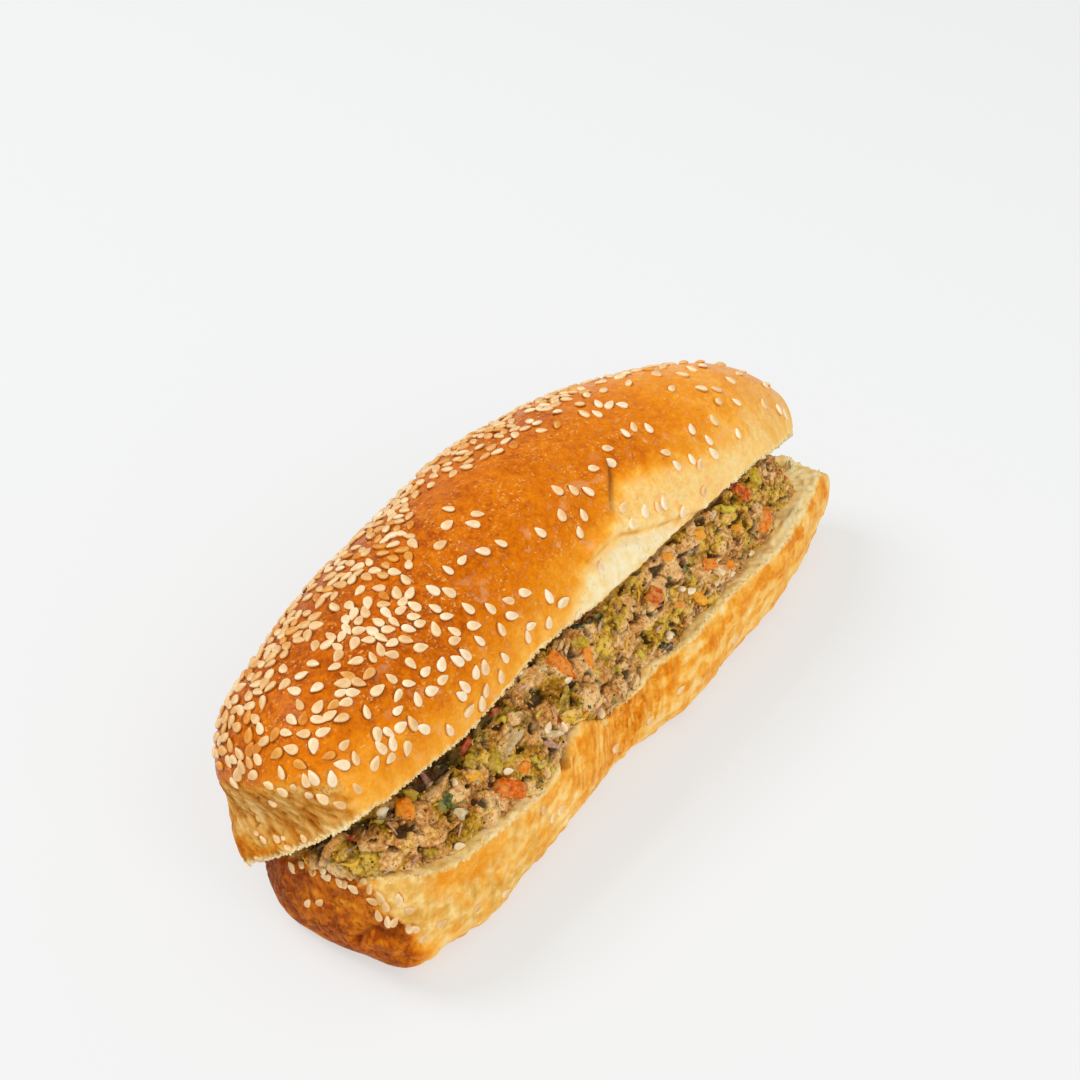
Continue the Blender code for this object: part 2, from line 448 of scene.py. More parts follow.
def times(tree, a, b):
    return maths(tree, "MULTIPLY", a, b)


def between(tree, value, low, high, newLow=0.0, newHigh=1.0):
    return node(tree, "MapRange", {"Value": value, "From Min": low, "From Max": high,
                                   "To Min": newLow, "To Max": newHigh}).outputs[0]


def swing(tree, where, size, detail=3.0, rough=0.55):      # the same noise, from -1 to 1
    return between(tree, grain(tree, where, size, detail, rough), 0.3, 0.7, -1, 1)


def ramp(tree, factor, stops):
    made = node(tree, "ValToRGB", {"Fac": factor})
    elements = made.color_ramp.elements
    while len(elements) < len(stops):
        elements.new(0.5)
    for element, (place, colour) in zip(elements, stops):
        element.position = place
        element.color = toLinear(colour)
    return made.outputs["Color"]


def blend(tree, factor, a, b):
    # colour a where factor is 0, colour b where it is 1
    made = node(tree, "Mix", data_type="RGBA")
    sockets = [made.inputs[0]] + [socket for socket in made.inputs if socket.type == "RGBA"]
    for socket, value in zip(sockets, (factor, a, b)):
        if isinstance(value, bpy.types.NodeSocket):
            tree.links.new(value, socket)
        else:
            socket.default_value = value
    return next(s for s in made.outputs if s.type == "RGBA")


def soften(shader, weight, radius, scale):
    shader.inputs["Subsurface Weight"].default_value = weight
    shader.inputs["Subsurface Radius"].default_value = radius
    shader.inputs["Subsurface Scale"].default_value = scale * mm


def roughen(tree, shader, height, strength, distance):
    bump = node(tree, "Bump", {"Height": height, "Strength": strength, "Distance": distance * mm})
    tree.links.new(bump.outputs["Normal"], shader.inputs["Normal"])


crustColours = [               # from pale to well baked
    (0.00, (252, 238, 200)),
    (0.16, (253, 224, 158)),
    (0.32, (254, 202, 112)),
    (0.46, (250, 178, 66)),
    (0.60, (240, 152, 28)),
    (0.75, (226, 128, 6)),
    (0.88, (206, 106, 0)),
    (1.00, (168, 74, 0)),
]
tanColours = [                 # the rough ends, from pale to brown
    (0.0, (242, 208, 150)),
    (0.3, (222, 170, 90)),
    (0.55, (194, 128, 42)),
    (0.8, (166, 86, 4)),
    (1.0, (108, 42, 0)),
]
sallowColours = [(0.34, (206, 148, 56)), (0.5, (230, 178, 86)), (0.66, (250, 222, 150))]
crumbColours = [(0.3, (248, 204, 122)), (0.6, (255, 236, 178))]
stainedColours = [(0.35, (226, 172, 68)), (0.62, (254, 218, 130))]                   # crumb with oil in it
blushColour = (252, 188, 128)
# the colour of pale specks, and of painted glints
speckAndGlintColour = (254, 190, 106)


def makeCrust(name, look):
    material, tree, shader, where = newMaterial(name)
    gloss = attribute(tree, "gloss")
    crackAndShadeColour = toLinear(look["crackAndShadeColour"])
    patches = swing(tree, where, look["patchSize"], 4)
    mottle = swing(tree, where, look["mottleSize"], 5, 0.65)
    mottleDepth = between(tree, gloss, 0, 1, 0.4 * look["mottleDepth"], look["mottleDepth"])
    fine = swing(tree, where, 0.8)
    bake = plus(tree, attribute(tree, "bake"), times(tree, patches, look["patchDepth"]))
    bake = plus(tree, bake, times(tree, mottle, mottleDepth))
    bake = plus(tree, bake, times(tree, fine, look["fineDepth"]), True)
    baked, tanned = ramp(tree, bake, crustColours), ramp(tree, bake, tanColours)
    colour = blend(tree, attribute(tree, "rough"), baked, tanned)

    blotches = between(tree, grain(tree, where, 4.0, 3, 0.6), 0.58, 0.68, 0, 0.5)
    blotches = times(tree, blotches, attribute(tree, "blush"))
    colour = blend(tree, blotches, colour, toLinear(blushColour))
    # pale specks in clusters where the crust is glossy: partly its own specks, partly painted glints of its
    # sheen
    clusters = between(tree, grain(tree, where, look["speckPatch"], 3), 0.42, 0.58)
    specksAndGlints = between(tree, grain(tree, where, look["speckSize"], 3, 0.6, 0.4), 0.56, 0.66)
    specksAndGlints = times(tree, times(tree, clusters, specksAndGlints), gloss)
    colour = blend(tree, times(tree, specksAndGlints, look["speckShow"]), colour, toLinear(speckAndGlintColour))
    middle = maths(tree, "SUBTRACT", grain(tree, where, look["veinSize"], 4, 0.6), 0.5)
    veins = between(tree, maths(tree, "ABSOLUTE", middle), 0.004, 0.02, look["veinShow"], 0)
    veins = times(tree, veins, between(tree, grain(tree, where, 5.0, 2), 0.45, 0.6))
    colour = blend(tree, veins, colour, crackAndShadeColour)

    sallow = ramp(tree, grain(tree, where, 3.0, 5, 0.6), sallowColours)
    colour = blend(tree, attribute(tree, "sallow"), colour, sallow)
    crumb = ramp(tree, grain(tree, where, 2.2, 5, 0.65), crumbColours)
    stained = ramp(tree, grain(tree, where, 2.0, 4, 0.65), stainedColours)
    crumb = blend(tree, attribute(tree, "stain"), crumb, stained)
    colour = blend(tree, attribute(tree, "crumb"), colour, crumb)
    # dark lines: cracks in the crust, and painted shade in the crease, grooves, folds, slits and under the
    # ledge
    colour = blend(tree, attribute(tree, "crackAndShade"), colour, crackAndShadeColour)
    tree.links.new(colour, shader.inputs["Base Color"])
    rough = between(tree, gloss, 0, 1, 0.75, look["roughness"])
    tree.links.new(plus(tree, rough, times(tree, fine, 0.05)), shader.inputs["Roughness"])
    shader.inputs["Specular IOR Level"].default_value = look["shine"]
    soften(shader, 0.1, (1.0, 0.45, 0.2), 1.2)
    roughen(tree, shader, plus(tree, grain(tree, where, 0.7, 3), times(tree, specksAndGlints, 1.5)), 0.5, 0.16)
    return material


crownLook = {
    "voxel": 0.9,
    "cutStart": (0, 0, 26),   # a place by the cut face
    "bake": 0.84,             # 0 pale, 1 dark
    "farPaler": 0.27,         # how much less the far part is baked
    "endBulge": 1.2,
    "wrinkleDepth": 0.55,     # on the rough near end
    "pockDepth": 0.35,
    "slimBack": 0.9,
    "creaseDepth": 0.9,
    "ledgeHeight": 1.0,
    "ledgeUndercut": 1.2,
    "holeDepth": 0.9,         # in the crumb
    "toothHeight": 0.7,       # along the ragged cut edge
    "creamOutline": [(572, 628), (578, 600), (588, 574), (600, 556), (612, 542), (628, 527), (650, 523),
                     (690, 515), (714, 500), (722, 494), (704, 522), (660, 556), (620, 594), (585, 624)],
    "paleOutline": [(600, 552), (611, 510), (616, 482), (634, 470), (680, 462), (745, 450), (745, 478),
                    (700, 515), (650, 530)],
    "crease": [(609, 462), (611, 476), (611, 492), (612, 508)],
    "ledge": [(594, 556), (606, 545), (620, 533), (646, 529), (691, 514), (716, 504)],
    "edgeLine": [(247, 866), (267, 863), (290, 855), (315, 845), (343, 832), (379, 807), (404, 790),
                 (432, 765), (463, 740), (501, 700), (540, 651), (558, 636), (580, 620), (602, 603),
                 (617, 589), (637, 572), (659, 552), (681, 530), (698, 515), (719, 497), (735, 482),
                 (754, 466), (778, 448), (793, 435)],
    "patchSize": 9.0,
    "patchDepth": 0.025,
    "mottleSize": 2.0,
    "mottleDepth": 0.10,
    "fineDepth": 0.05,
    "speckPatch": 6.0,
    "speckSize": 0.75,
    "speckShow": 0.7,
    "veinSize": 5.0,
    "veinShow": 0.12,
    "crackAndShadeColour": (140, 66, 8),
    "roughness": 0.3,
    "shine": 0.07,
}


def crownDetail(points, edge):     # where the crown gets its finest faces
    return (points[:, 0] < -82) | ((points[:, 1] < 6) & (edge < 9)) | (edge < 2)


def shapeCrown():
    look = crownLook
    crown, points, onCut, edge, border = makeBread("bun_crown", "crownOfRoll", look, crownDetail)
    frontEdge = np.array([p for p in border if p[1] < 6])
    border = [Vector(p) for p in pulledTo(np.array(border), frontEdge, look["edgeLine"], 11)]
    points = pulledTo(points, frontEdge, look["edgeLine"], 11)
    setPoints(crown, points)
    tree = treeOf(crown)
    x, y, z = points.T
    normals = normalsOf(crown)
    crust = 1 - onCut
    high = z + 0.5 * y                                         # up the slanting end face
    nearEnd = ease(-87, -93, x) * crust
    faced = crust * ease(6, 0, y)

    push = 0.5 * cloud(points, 22, 3.1) + 0.2 * cloud(points, 7, 8.4) + 0.05 * cloud(points, 2.4, 1.7)
    frontBand = ease(16, 3, edge) * ease(0, -0.6, normals[:, 1])
    stretch = cloud(points, (2.2, 8, 10), 5.2)
    push += 0.2 * frontBand * stretch                          # marks that run to the cut

    along = points @ (0, -1.0, -0.12)
    across = points @ (0, -0.12, 1.0)
    furrows = np.stack([x / 4, along / 4, across / 0.95], 1)
    ridged = np.abs(cloud(furrows + 0.5 * cloud(points, 3, 7.1)[:, None], 1, 2.9))
    wrinkled = nearEnd * ease(41, 37, high)
    push -= wrinkled * look["wrinkleDepth"] * ease(0.25, 0, ridged)
    crackAndShade = 0.5 * wrinkled * ease(0.07, 0.0, ridged) * ease(-0.1, 0.2, cloud(points, 3, 4.4))
    pocks = cells(stirred(points, 3, 0.8, 1.2), 2.0, 6.1)[:, 0]
    push -= wrinkled * look["pockDepth"] * ease(0.3, 0.1, pocks)
    push += nearEnd * look["endBulge"] * hill(high, 35, 9) * ease(0, 18, y)
    push -= look["slimBack"] * crust * ease(2, 16, y) * ease(-62, -20, x) * ease(97, 75, x)

    ragged = toPhoto(points) + np.stack([9 * cloud(points, 3.5, 4.2), 9 * cloud(points, 3.5, 8.7)], 1)
    cream = insideOutline(ragged, look["creamOutline"], 11) * faced
    pale = insideOutline(ragged, look["paleOutline"], 20) * faced
    distance, nearest = nearLine(points, lineOn(tree, look["crease"]))
    deep = ease(53, 60, nearest[:, 2])                         # the crease is widest at its top
    push += hill(distance, 0, 4) * np.where(x < nearest[:, 0], 0.5, -0.3)
    push -= look["creaseDepth"] * hill(distance, 0, 0.6)
    # painted shade in the crease, widest and darkest at its top
    shadeLine = np.maximum(hill(distance, 0, 0.4), deep * hill(distance, 0, 0.9))
    crackAndShade = np.maximum(crackAndShade, (0.35 + 0.4 * deep) * shadeLine)
    distance, nearest = nearLine(points, lineOn(tree, look["ledge"]))
    above = distance * np.sign(z - nearest[:, 2])
    strength = crust * ease(-14, -8, nearest[:, 0]) * ease(34, 28, nearest[:, 0])
    push += strength * look["ledgeHeight"] * hill(above, 1.3, 1.3)
    push -= strength * look["ledgeUndercut"] * hill(above, -1.0, 1.4)
    grooves = ease(0.2, 0, np.abs(cloud(points, (1.4, 3, 4), 6.6)))
    push -= cream * (0.35 * grooves - 0.25 * cloud(points, 4, 2.2))
    # painted shade under the ledge, which darkens the cream below it
    underLedgeShade = strength * hill(above, -0.3, 0.7)
    fibres = ease(0.05, 0, np.abs(cloud(stirred(points, 3, 1.0, 3.0), (1.2, 2, 3), 6.6)))
    crackAndShade = np.maximum(crackAndShade, cream * fibres * 0.35 * ease(0.0, 0.2, cloud(points, 3, 2.9)))
    # a painted shadow line just under the ledge
    shadeLine = strength * hill(above, -0.3, 0.35) * ease(-0.2, 0.1, cloud(points, 4, 8.9))
    crackAndShade = np.maximum(crackAndShade, 0.4 * shadeLine)

    push *= ease(0, 1.5, edge) * 0.75 + 0.25
    clean = ease(-14, -8, x) * ease(42, 34, x) * ease(6, 0, y)  # here the cut is smooth
    teeth = (cloud(points, 1.0, 9.1) + 0.6 * cloud(points, 0.55, 4.1)) * (1 - 0.85 * clean)
    holes = ease(0.32, 0.1, cells(points, 3.2, 2.2)[:, 0]) * ease(0.5, 2.5, edge)
    push = np.where(onCut > 0.5, 0.35 * cloud(points, 1.6, 3.3) - look["holeDepth"] * holes, push)
    push += look["toothHeight"] * teeth * hill(edge, 0, 1.0)
    setPoints(crown, points + normals * push[:, None])

    bake = look["bake"] - look["farPaler"] * ease(8, 62, x) * ease(34, 6, y)
    bake += 0.04 * cloud(points, 26, 7.7) + 0.06 * cloud(points, 6, 5.5)
    bake += 0.09 * ease(-26, -58, x) + 0.05 * ease(0, 12, y) * ease(50, 10, x)
    bake *= 0.53 + 0.47 * ease(0, 21, edge + 4 * cloud(points, 6, 2.4))  # paler by the cut
    bake += 0.14 * frontBand * stretch
    bake = mixed(bake, 0.85 * pale, 0.22)
    # the cream zone, darker in places, and darker still under the ledge as painted shade
    bake = mixed(bake, cream, 0.08 + 0.14 * cloud(points, 2.2, 5.5) + 0.22 * underLedgeShade)
    rough = nearEnd * ease(42, 36, high + 2 * cloud(points, 5, 9.2))
    lip = 0.85 * nearEnd * ease(29, 23, high + 3 * cloud(points, 6, 8.2)) * ease(0.8, 1.8, edge)
    tan = 0.42 + 0.4 * cloud(furrows * (1, 1, 0.7), 1, 3.3) + 0.3 * cloud(points, 4, 1.9)
    tan += 0.14 * ease(0.2, 0, ridged)
    bake = mixed(bake, rough, tan)
    bake = mixed(bake, lip, 0.76 + 0.35 * cloud(points, 3, 8.8))
    paint(crown, "bake", np.clip(bake, 0.02, 0.98))
    paint(crown, "blush", ease(34, 14, edge) * crust * (1 - rough) * (1 - cream) * ease(-86, -60, x))
    paint(crown, "rough", rough * (1 - 0.6 * lip))
    bared = ease(1.4, 0.5, edge + 0.7 * cloud(points, 1.1, 4.1) + 0.6 * clean)
    paint(crown, "crumb", np.maximum(onCut, bared))
    paint(crown, "crackAndShade", np.clip(crackAndShade, 0, 1))
    paint(crown, "gloss", np.clip(crust * (1 - cream) * (1 - 0.8 * rough) * ease(0, 10, edge), 0, 1))
    crown.data.materials.append(makeCrust("crownCrust", look))
    shadeSmooth(crown)
    placeIn(crown, "crown_crust", "bun_crown")
    return crown, border


crown, crownBorder = shapeCrown()
crownTree = treeOf(crown)
print("crown is shaped:", len(crown.data.polygons), "faces")


heelLook = {
    "voxel": 0.92,
    "cutStart": (0, 0, 22),   # a place by the cut face
    "bake": 0.40,             # 0 pale, 1 dark
    "backDarker": 0.3,
    "endBulge": 2.1,          # of the near end, except at the front
    "cornerBulge": 1.2,       # low at the front corner
    "seamDepth": 0.3,         # in the near end's mottled crust
    "fibreDepth": 0.3,
    "streakHeight": 0.5,
    "slitDepth": 0.6,
    "holeDepth": 0.8,         # in the crumb
    "toothHeight": 0.7,       # along the ragged cut edge
    "lobeLine": [(360, 937), (365, 944), (393, 955), (427, 962)],
    "lobeTop": [(360, 937), (372, 928), (384, 934), (392, 937), (402, 930)],
    "lobeMiddle": (398, 944),
    "rimLine": [(366, 874), (379, 879), (404, 877), (432, 872), (460, 862), (484, 842), (506, 824),
                (534, 800), (552, 784), (564, 770), (560, 750), (565, 730), (577, 713), (612, 706),
                (632, 694), (642, 684), (658, 662), (676, 650), (698, 633), (716, 608), (730, 594),
                (743, 582), (757, 569), (773, 555), (786, 541), (806, 507), (820, 472)],
    "flap": [(612, 708), (577, 715), (566, 732), (562, 750), (565, 768)],
    "flapOutline": [(574, 736), (586, 726), (614, 720), (642, 700), (634, 736), (604, 782), (572, 792),
                    (566, 768)],
    "farZone": [(786, 458), (783, 474), (774, 500), (771, 528), (764, 550), (752, 566), (800, 620),
                (880, 500), (800, 430)],
    "creamOutline": [(376, 868), (364, 880), (372, 898), (388, 918), (408, 930), (428, 940), (450, 934),
                     (482, 914), (522, 878), (560, 838), (545, 795), (500, 824), (450, 866)],
    "goldOutline": [(436, 880), (448, 856), (480, 842), (512, 826), (500, 858), (474, 882), (446, 892)],
    "patchSize": 6.0,
    "patchDepth": 0.04,
    "mottleSize": 2.4,
    "mottleDepth": 0.12,
    "fineDepth": 0.07,
    "speckPatch": 12.0,
    "speckSize": 1.2,
    "speckShow": 0.3,
    "veinSize": 2.6,
    "veinShow": 0.25,
    "crackAndShadeColour": (110, 48, 4),
    "roughness": 0.45,
    "shine": 0.07,
}


def heelDetail(points, edge):      # where the heel gets its finest faces
    x, y, z = points.T
    return (x < -76) | ((y < -16) & (z > 1)) | (edge < 2) | ((x > 60) & (y < 10) & (z > 12))


def shapeHeel():
    look = heelLook
    heel, points, onCut, edge, border = makeBread("bun_heel", "heelOfRoll", look, heelDetail)
    filling = treeOf(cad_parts["tuna_filling"])
    farZone = onCut * insideOutline(toPhoto(points), look["farZone"], 4) * ease(50, 60, points[:, 0])
    # the crumb laps up the filling's far end
    for i in np.flatnonzero(farZone > 0.02):
        place, _, _, _ = filling.ray_cast(Vector(points[i] + (0, 0, 0.3)) * mm, Vector((0, 0, 1)))
        if place is not None:
            points[i, 2] += farZone[i] * min(place[2] / mm - points[i, 2] + 0.5, 9)
    frontEdge = np.array([p for p in border if p[1] < 4])
    border = [Vector(p) for p in pulledTo(np.array(border), frontEdge, look["rimLine"], 6, 24)]
    points = pulledTo(points, frontEdge, look["rimLine"], 6, 24)
    setPoints(heel, points)
    tree = treeOf(heel)
    flat = toPhoto(points)
    ragged = flat + np.stack([10 * cloud(points, 2.5, 4.2), 10 * cloud(points, 2.5, 8.7)], 1)
    x, y, z = points.T
    normals = normalsOf(heel)
    base = ease(-0.6, -0.95, normals[:, 2]) * ease(1.5, 0.5, z)
    crust = (1 - onCut) * (1 - base)
    seen = towardsCamera(points, normals)
    cream = insideOutline(ragged, look["creamOutline"], 6) * crust * seen
    nearEnd = ease(-0.2, -0.6, normals[:, 0]) * ease(-60, -80, x) * crust * (1 - cream)
    front = ease(-0.3, -0.7, normals[:, 1]) * crust

    uneven = 0.45 * cloud(points, 18, 2.1) + 0.3 * cloud(points, 6, 6.3) + 0.07 * cloud(points, 2, 9.9)
    push = crust * uneven
    push += nearEnd * look["endBulge"] * ease(-30, -12, y)
    push += front * look["cornerBulge"] * hill(x, -68, 8) * ease(14, 4, z)
    net = cells(stirred(points, 3.0, 1.8, 1.0), (2.6, 2.0, 2.9), 1.1)
    seam = net[:, 1] - net[:, 0]
    mottled = nearEnd * ease(2, 6, z)
    push -= mottled * look["seamDepth"] * ease(0.2, 0.0, seam)
    fibres = np.abs(cloud(stirred(points, 4, 1.5, 4.0), (3, 0.9, 2.4), 7.9))
    push -= mottled * look["fibreDepth"] * ease(0.15, 0.0, fibres)
    crackAndShade = mottled * np.maximum(0.8 * ease(0.1, 0.0, seam) * ease(-0.05, 0.2, cloud(points, 5, 3.8)),
                                 0.7 * ease(0.05, 0.0, fibres) * ease(-0.05, 0.2, cloud(points, 4, 8.3)))
    streak = cloud(stirred(points, 6, 2.0, 3.0), (2.6, 5, 8), 7.4)
    push += front * look["streakHeight"] * streak
    creased = cloud(stirred(points, 4, 1.5, 5.0), (4.5, 1.4, 1.3), 2.8)
    push += front * 0.35 * creased * ease(-0.3, 0.2, cloud(points, 10, 3.9))
    waist = hill(x, -16, 12)
    slit = np.abs(cloud(stirred(points, 5, 1.2, 8.0), (1.9, 4, 8), 4.9))
    push -= front * waist * look["slitDepth"] * ease(0.12, 0.0, slit)
    # painted shade at the bottoms of the slits
    shadeLine = front * waist * ease(0.04, 0.0, slit) * ease(0.1, 0.3, cloud(points, 5, 1.4))
    crackAndShade = np.maximum(crackAndShade, 0.7 * shadeLine)
    distance, nearest = nearLine(points, lineOn(tree, look["lobeLine"]))
    above = distance * np.sign(z - nearest[:, 2])
    push += crust * (0.5 * hill(above, 2.4, 2.2) - hill(distance, 0, 0.6))
    # painted shade in the groove along the lobe
    crackAndShade = np.maximum(crackAndShade, 0.5 * crust * hill(distance, 0, 0.45))
    distance, nearest = nearLine(points, lineOn(tree, look["lobeTop"]))
    above = distance * np.sign(z - nearest[:, 2])
    push += crust * (0.7 * hill(above, -1.8, 1.6) - 1.3 * hill(above, 0.2, 0.9))
    # painted shade in the groove over the lobe's top
    crackAndShade = np.maximum(crackAndShade, 0.6 * crust * hill(above, 0.1, 0.5))
    lobeMiddle = np.array(landing(tree, look["lobeMiddle"])[0])
    lobe = crust * hill(np.linalg.norm(points - lobeMiddle, axis=1), 0, 8) * ease(2, 7, 15 - z)
    push += 0.5 * lobe
    distance, nearest = nearLine(points, lineOn(tree, look["flap"]))
    right = ease(-0.3, 0.5, x - nearest[:, 0])
    flap = (1 - base) * right * hill(x, -12, 10) * ease(7, 12, z)
    strands = cloud(stirred(points, 8, 1.5, 6.0), (0.9, 5, 6), 3.4)
    folds = np.abs(cloud(stirred(points, 6, 1.2, 2.0), (1.6, 9, 12), 5.8))
    push += (1 - base) * right * 1.1 * hill(distance, 0.8, 2.5)
    push += flap * (0.4 * strands - 0.7 * ease(0.12, 0, folds))
    # painted shade in the flap's folds
    crackAndShade = np.maximum(crackAndShade, 0.35 * flap * crust * ease(0.05, 0, folds))
    push -= (1 - base) * (1 - right) * 1.6 * hill(distance, 0.8, 0.9)
    # painted shade in the gap along the flap's left edge
    crackAndShade = np.maximum(crackAndShade, 0.8 * (1 - base) * (1 - 0.6 * right) * hill(distance, 0.3, 0.6))

    teeth = cloud(points, 1.0, 9.1) + 0.6 * cloud(points, 0.55, 4.1)
    push = push * (ease(0, 2, edge) * 0.7 + 0.3)
    holes = ease(0.32, 0.1, cells(points, 3.0, 5.2)[:, 0]) * ease(0.5, 2.5, edge)
    torn = 0.5 * cloud(points, 1.5, 3.3) + 1.6 * ease(55, 64, x) * (np.abs(cloud(points, 3.2, 6.9)) - 0.15)
    push = np.where(onCut > 0.5, torn - look["holeDepth"] * holes, push)
    push = np.where(base > 0.01, -0.12 * base * np.abs(cloud(points, 3, 2.6)), push)
    push += look["toothHeight"] * teeth * hill(edge, 0, 1.1) * (1 - base)
    moved = points + normals * push[:, None]
    moved[:, 2] = np.maximum(moved[:, 2], 0.0)
    setPoints(heel, moved)

    bake = look["bake"] + look["backDarker"] * ease(-5, 22, y)
    bake = mixed(bake, front * hill(x, -54, 22) * ease(3, 8, z), 0.25)
    bake = mixed(bake, 0.5 * front * waist, 0.26)
    blotch = ease(-0.18, 0.18, cloud(stirred(points, 4, 2.0, 3.0), (8, 5, 3.2), 2.4)) - 0.5
    bake += front * (0.18 * blotch + 0.14 * streak + 0.09 * strands + 0.09 * creased)
    underRim = front * ease(10, 3, edge) * ease(0.6, 1.6, edge)
    bake += 0.16 * underRim * ease(-0.25, 0.1, cloud(points, 9, 6.6)) * ease(-30, -20, x)
    bake += 0.16 * underRim * ease(-0.1, 0.15, cloud(points, 8, 3.1)) * ease(-20, -30, x)
    bake += 0.2 * ease(3.5, 1, z) * crust
    dark = hill(y, 6, 12) * hill(z, 12, 8)                     # the middle of the near end
    brown = 0.93 + 0.1 * dark + 0.3 * cloud(points, 1.8, 6.1) + 0.2 * cloud(points, 8, 2.2)
    bake = mixed(bake, nearEnd, brown)
    bake = mixed(bake, cream, 0.45 + 0.16 * blotch + 0.2 * cloud(points, 1.6, 2.7))
    gold = cream * insideOutline(ragged, look["goldOutline"], 8)
    bake = mixed(bake, gold, 0.58 + 0.1 * blotch)
    bake = mixed(bake, lobe, 0.92 + 0.2 * cloud(points, 3, 1.2))
    bake = mixed(bake, 0.9 * flap * crust, 0.72 + 0.5 * strands + 0.2 * streak - 0.4 * ease(1.8, 0.8, edge))
    folded = insideOutline(ragged, look["flapOutline"], 7) * seen
    bake = mixed(bake, 0.8 * folded, 0.6 + 0.35 * strands + 0.15 * streak)
    bake = mixed(bake, base, 0.72 + 0.3 * cloud(points, 9, 4.7))
    paint(heel, "bake", np.clip(bake, 0.03, 0.98))
    pallor = cream * (0.35 + 0.65 * ease(560, 475, flat[:, 0]))          # less towards the right
    pallor = pallor * (0.75 + 1.1 * cloud(points, (3, 4, 6), 7.1)) * (1 - 0.85 * gold) * (1 - lobe)
    pallor += 0.5 * front * waist * ease(0.1, 0.4, -streak)
    paint(heel, "sallow", np.clip(pallor * (1 - folded), 0, 0.9))
    paint(heel, "rough", (0.2 + 0.5 * dark) * nearEnd * (1 - lobe))
    bared = np.maximum(onCut, ease(1.1, 0.3, edge + 0.7 * cloud(points, 1.1, 4.1)))
    paint(heel, "crumb", bared * (1 - 0.75 * folded))
    paint(heel, "crackAndShade", np.clip(crackAndShade, 0, 1))
    paint(heel, "gloss", np.clip(crust * ease(0.25, 0.6, bake) * (1 - 0.8 * cream), 0, 1))
    heel.data.materials.append(makeCrust("heelCrust", look))
    shadeSmooth(heel)
    placeIn(heel, "heel_crust", "bun_heel")
    return heel, border


heel, heelBorder = shapeHeel()
heelTree = treeOf(heel)
print("heel is shaped:", len(heel.data.polygons), "faces")


fillingLook = {
    "voxel": 1.08,
    "edgeLine": [(287, 857), (312, 860), (337, 863), (376, 867), (399, 864), (429, 859), (454, 849),
                 (478, 829), (499, 812), (530, 789), (546, 777), (562, 760), (566, 738), (575, 716),
                 (606, 710), (628, 690), (637, 679), (654, 656), (672, 644), (694, 626), (704, 614),
                 (714, 600), (727, 587), (747, 573), (762, 554), (769, 530), (773, 502), (786, 466)],
    "lumpHeight": 2.4,
    "clotHeight": 0.8,
    "grainHeight": 0.5,
    "pitDepth": 1.4,
    "poreDepth": 0.5,
    "gap": 3.6,               # how far it sinks under the crown's near part
    "farFrom": 60,            # from here along X it is drawn in, so that the heel's crumb shows
    "farShare": 0.62,
}
mashColours = [(0.22, (106, 52, 8)), (0.37, (182, 118, 46)), (0.5, (222, 160, 86)), (0.66, (250, 208, 144))]
oliveColours = [(0.22, (82, 48, 0)), (0.37, (148, 98, 4)), (0.5, (196, 144, 24)), (0.66, (238, 196, 80))]
# the colour of small dark dots, painted shade of tiny holes
holeShadeColour = (70, 34, 6)
# the colour of painted shade in the filling's hollows and under the crown
hollowShadeColour = (34, 14, 2)


def makeMash(name, shaded):
    material, tree, shader, where = newMaterial(name)
    small = between(tree, grain(tree, where, 0.9, 5, 0.7), 0.2, 0.8, 0.22, 0.82)
    wide = grain(tree, where, 3.4, 4, 0.65)
    if shaded:
        small = plus(tree, small, between(tree, attribute(tree, "shade"), 0, 1, -0.08, 0.12))
        oily = between(tree, wide, 0.56, 0.66)
    else:
        small = plus(tree, small, between(tree, attribute(tree, "pale"), -1, 1, -0.13, 0.13))
        wide = plus(tree, wide, between(tree, attribute(tree, "oil"), 0, 1, -0.08, 0.2))
        oily = between(tree, wide, 0.54, 0.70)
    colour = blend(tree, oily, ramp(tree, small, mashColours), ramp(tree, small, oliveColours))
    # small dark dots: painted shade of tiny holes in the mash
    holeShade = between(tree, grain(tree, where, 0.6, 2, 0.5), 0.64, 0.70, 0, 0.8)
    colour = blend(tree, holeShade, colour, toLinear(holeShadeColour))
    # painted shade in the core's hollows, pits and pores, and under the crown
    if not shaded:
        colour = blend(tree, attribute(tree, "hollowShade"), colour, toLinear(hollowShadeColour))
    tree.links.new(colour, shader.inputs["Base Color"])
    tree.links.new(between(tree, small, 0.3, 0.7, 0.5, 0.35), shader.inputs["Roughness"])
    shader.inputs["Specular IOR Level"].default_value = 0.12
    soften(shader, 0.12, (1.0, 0.5, 0.3), 0.9)
    roughen(tree, shader, grain(tree, where, 0.5, 4, 0.65), 0.8, 0.3)
    return material


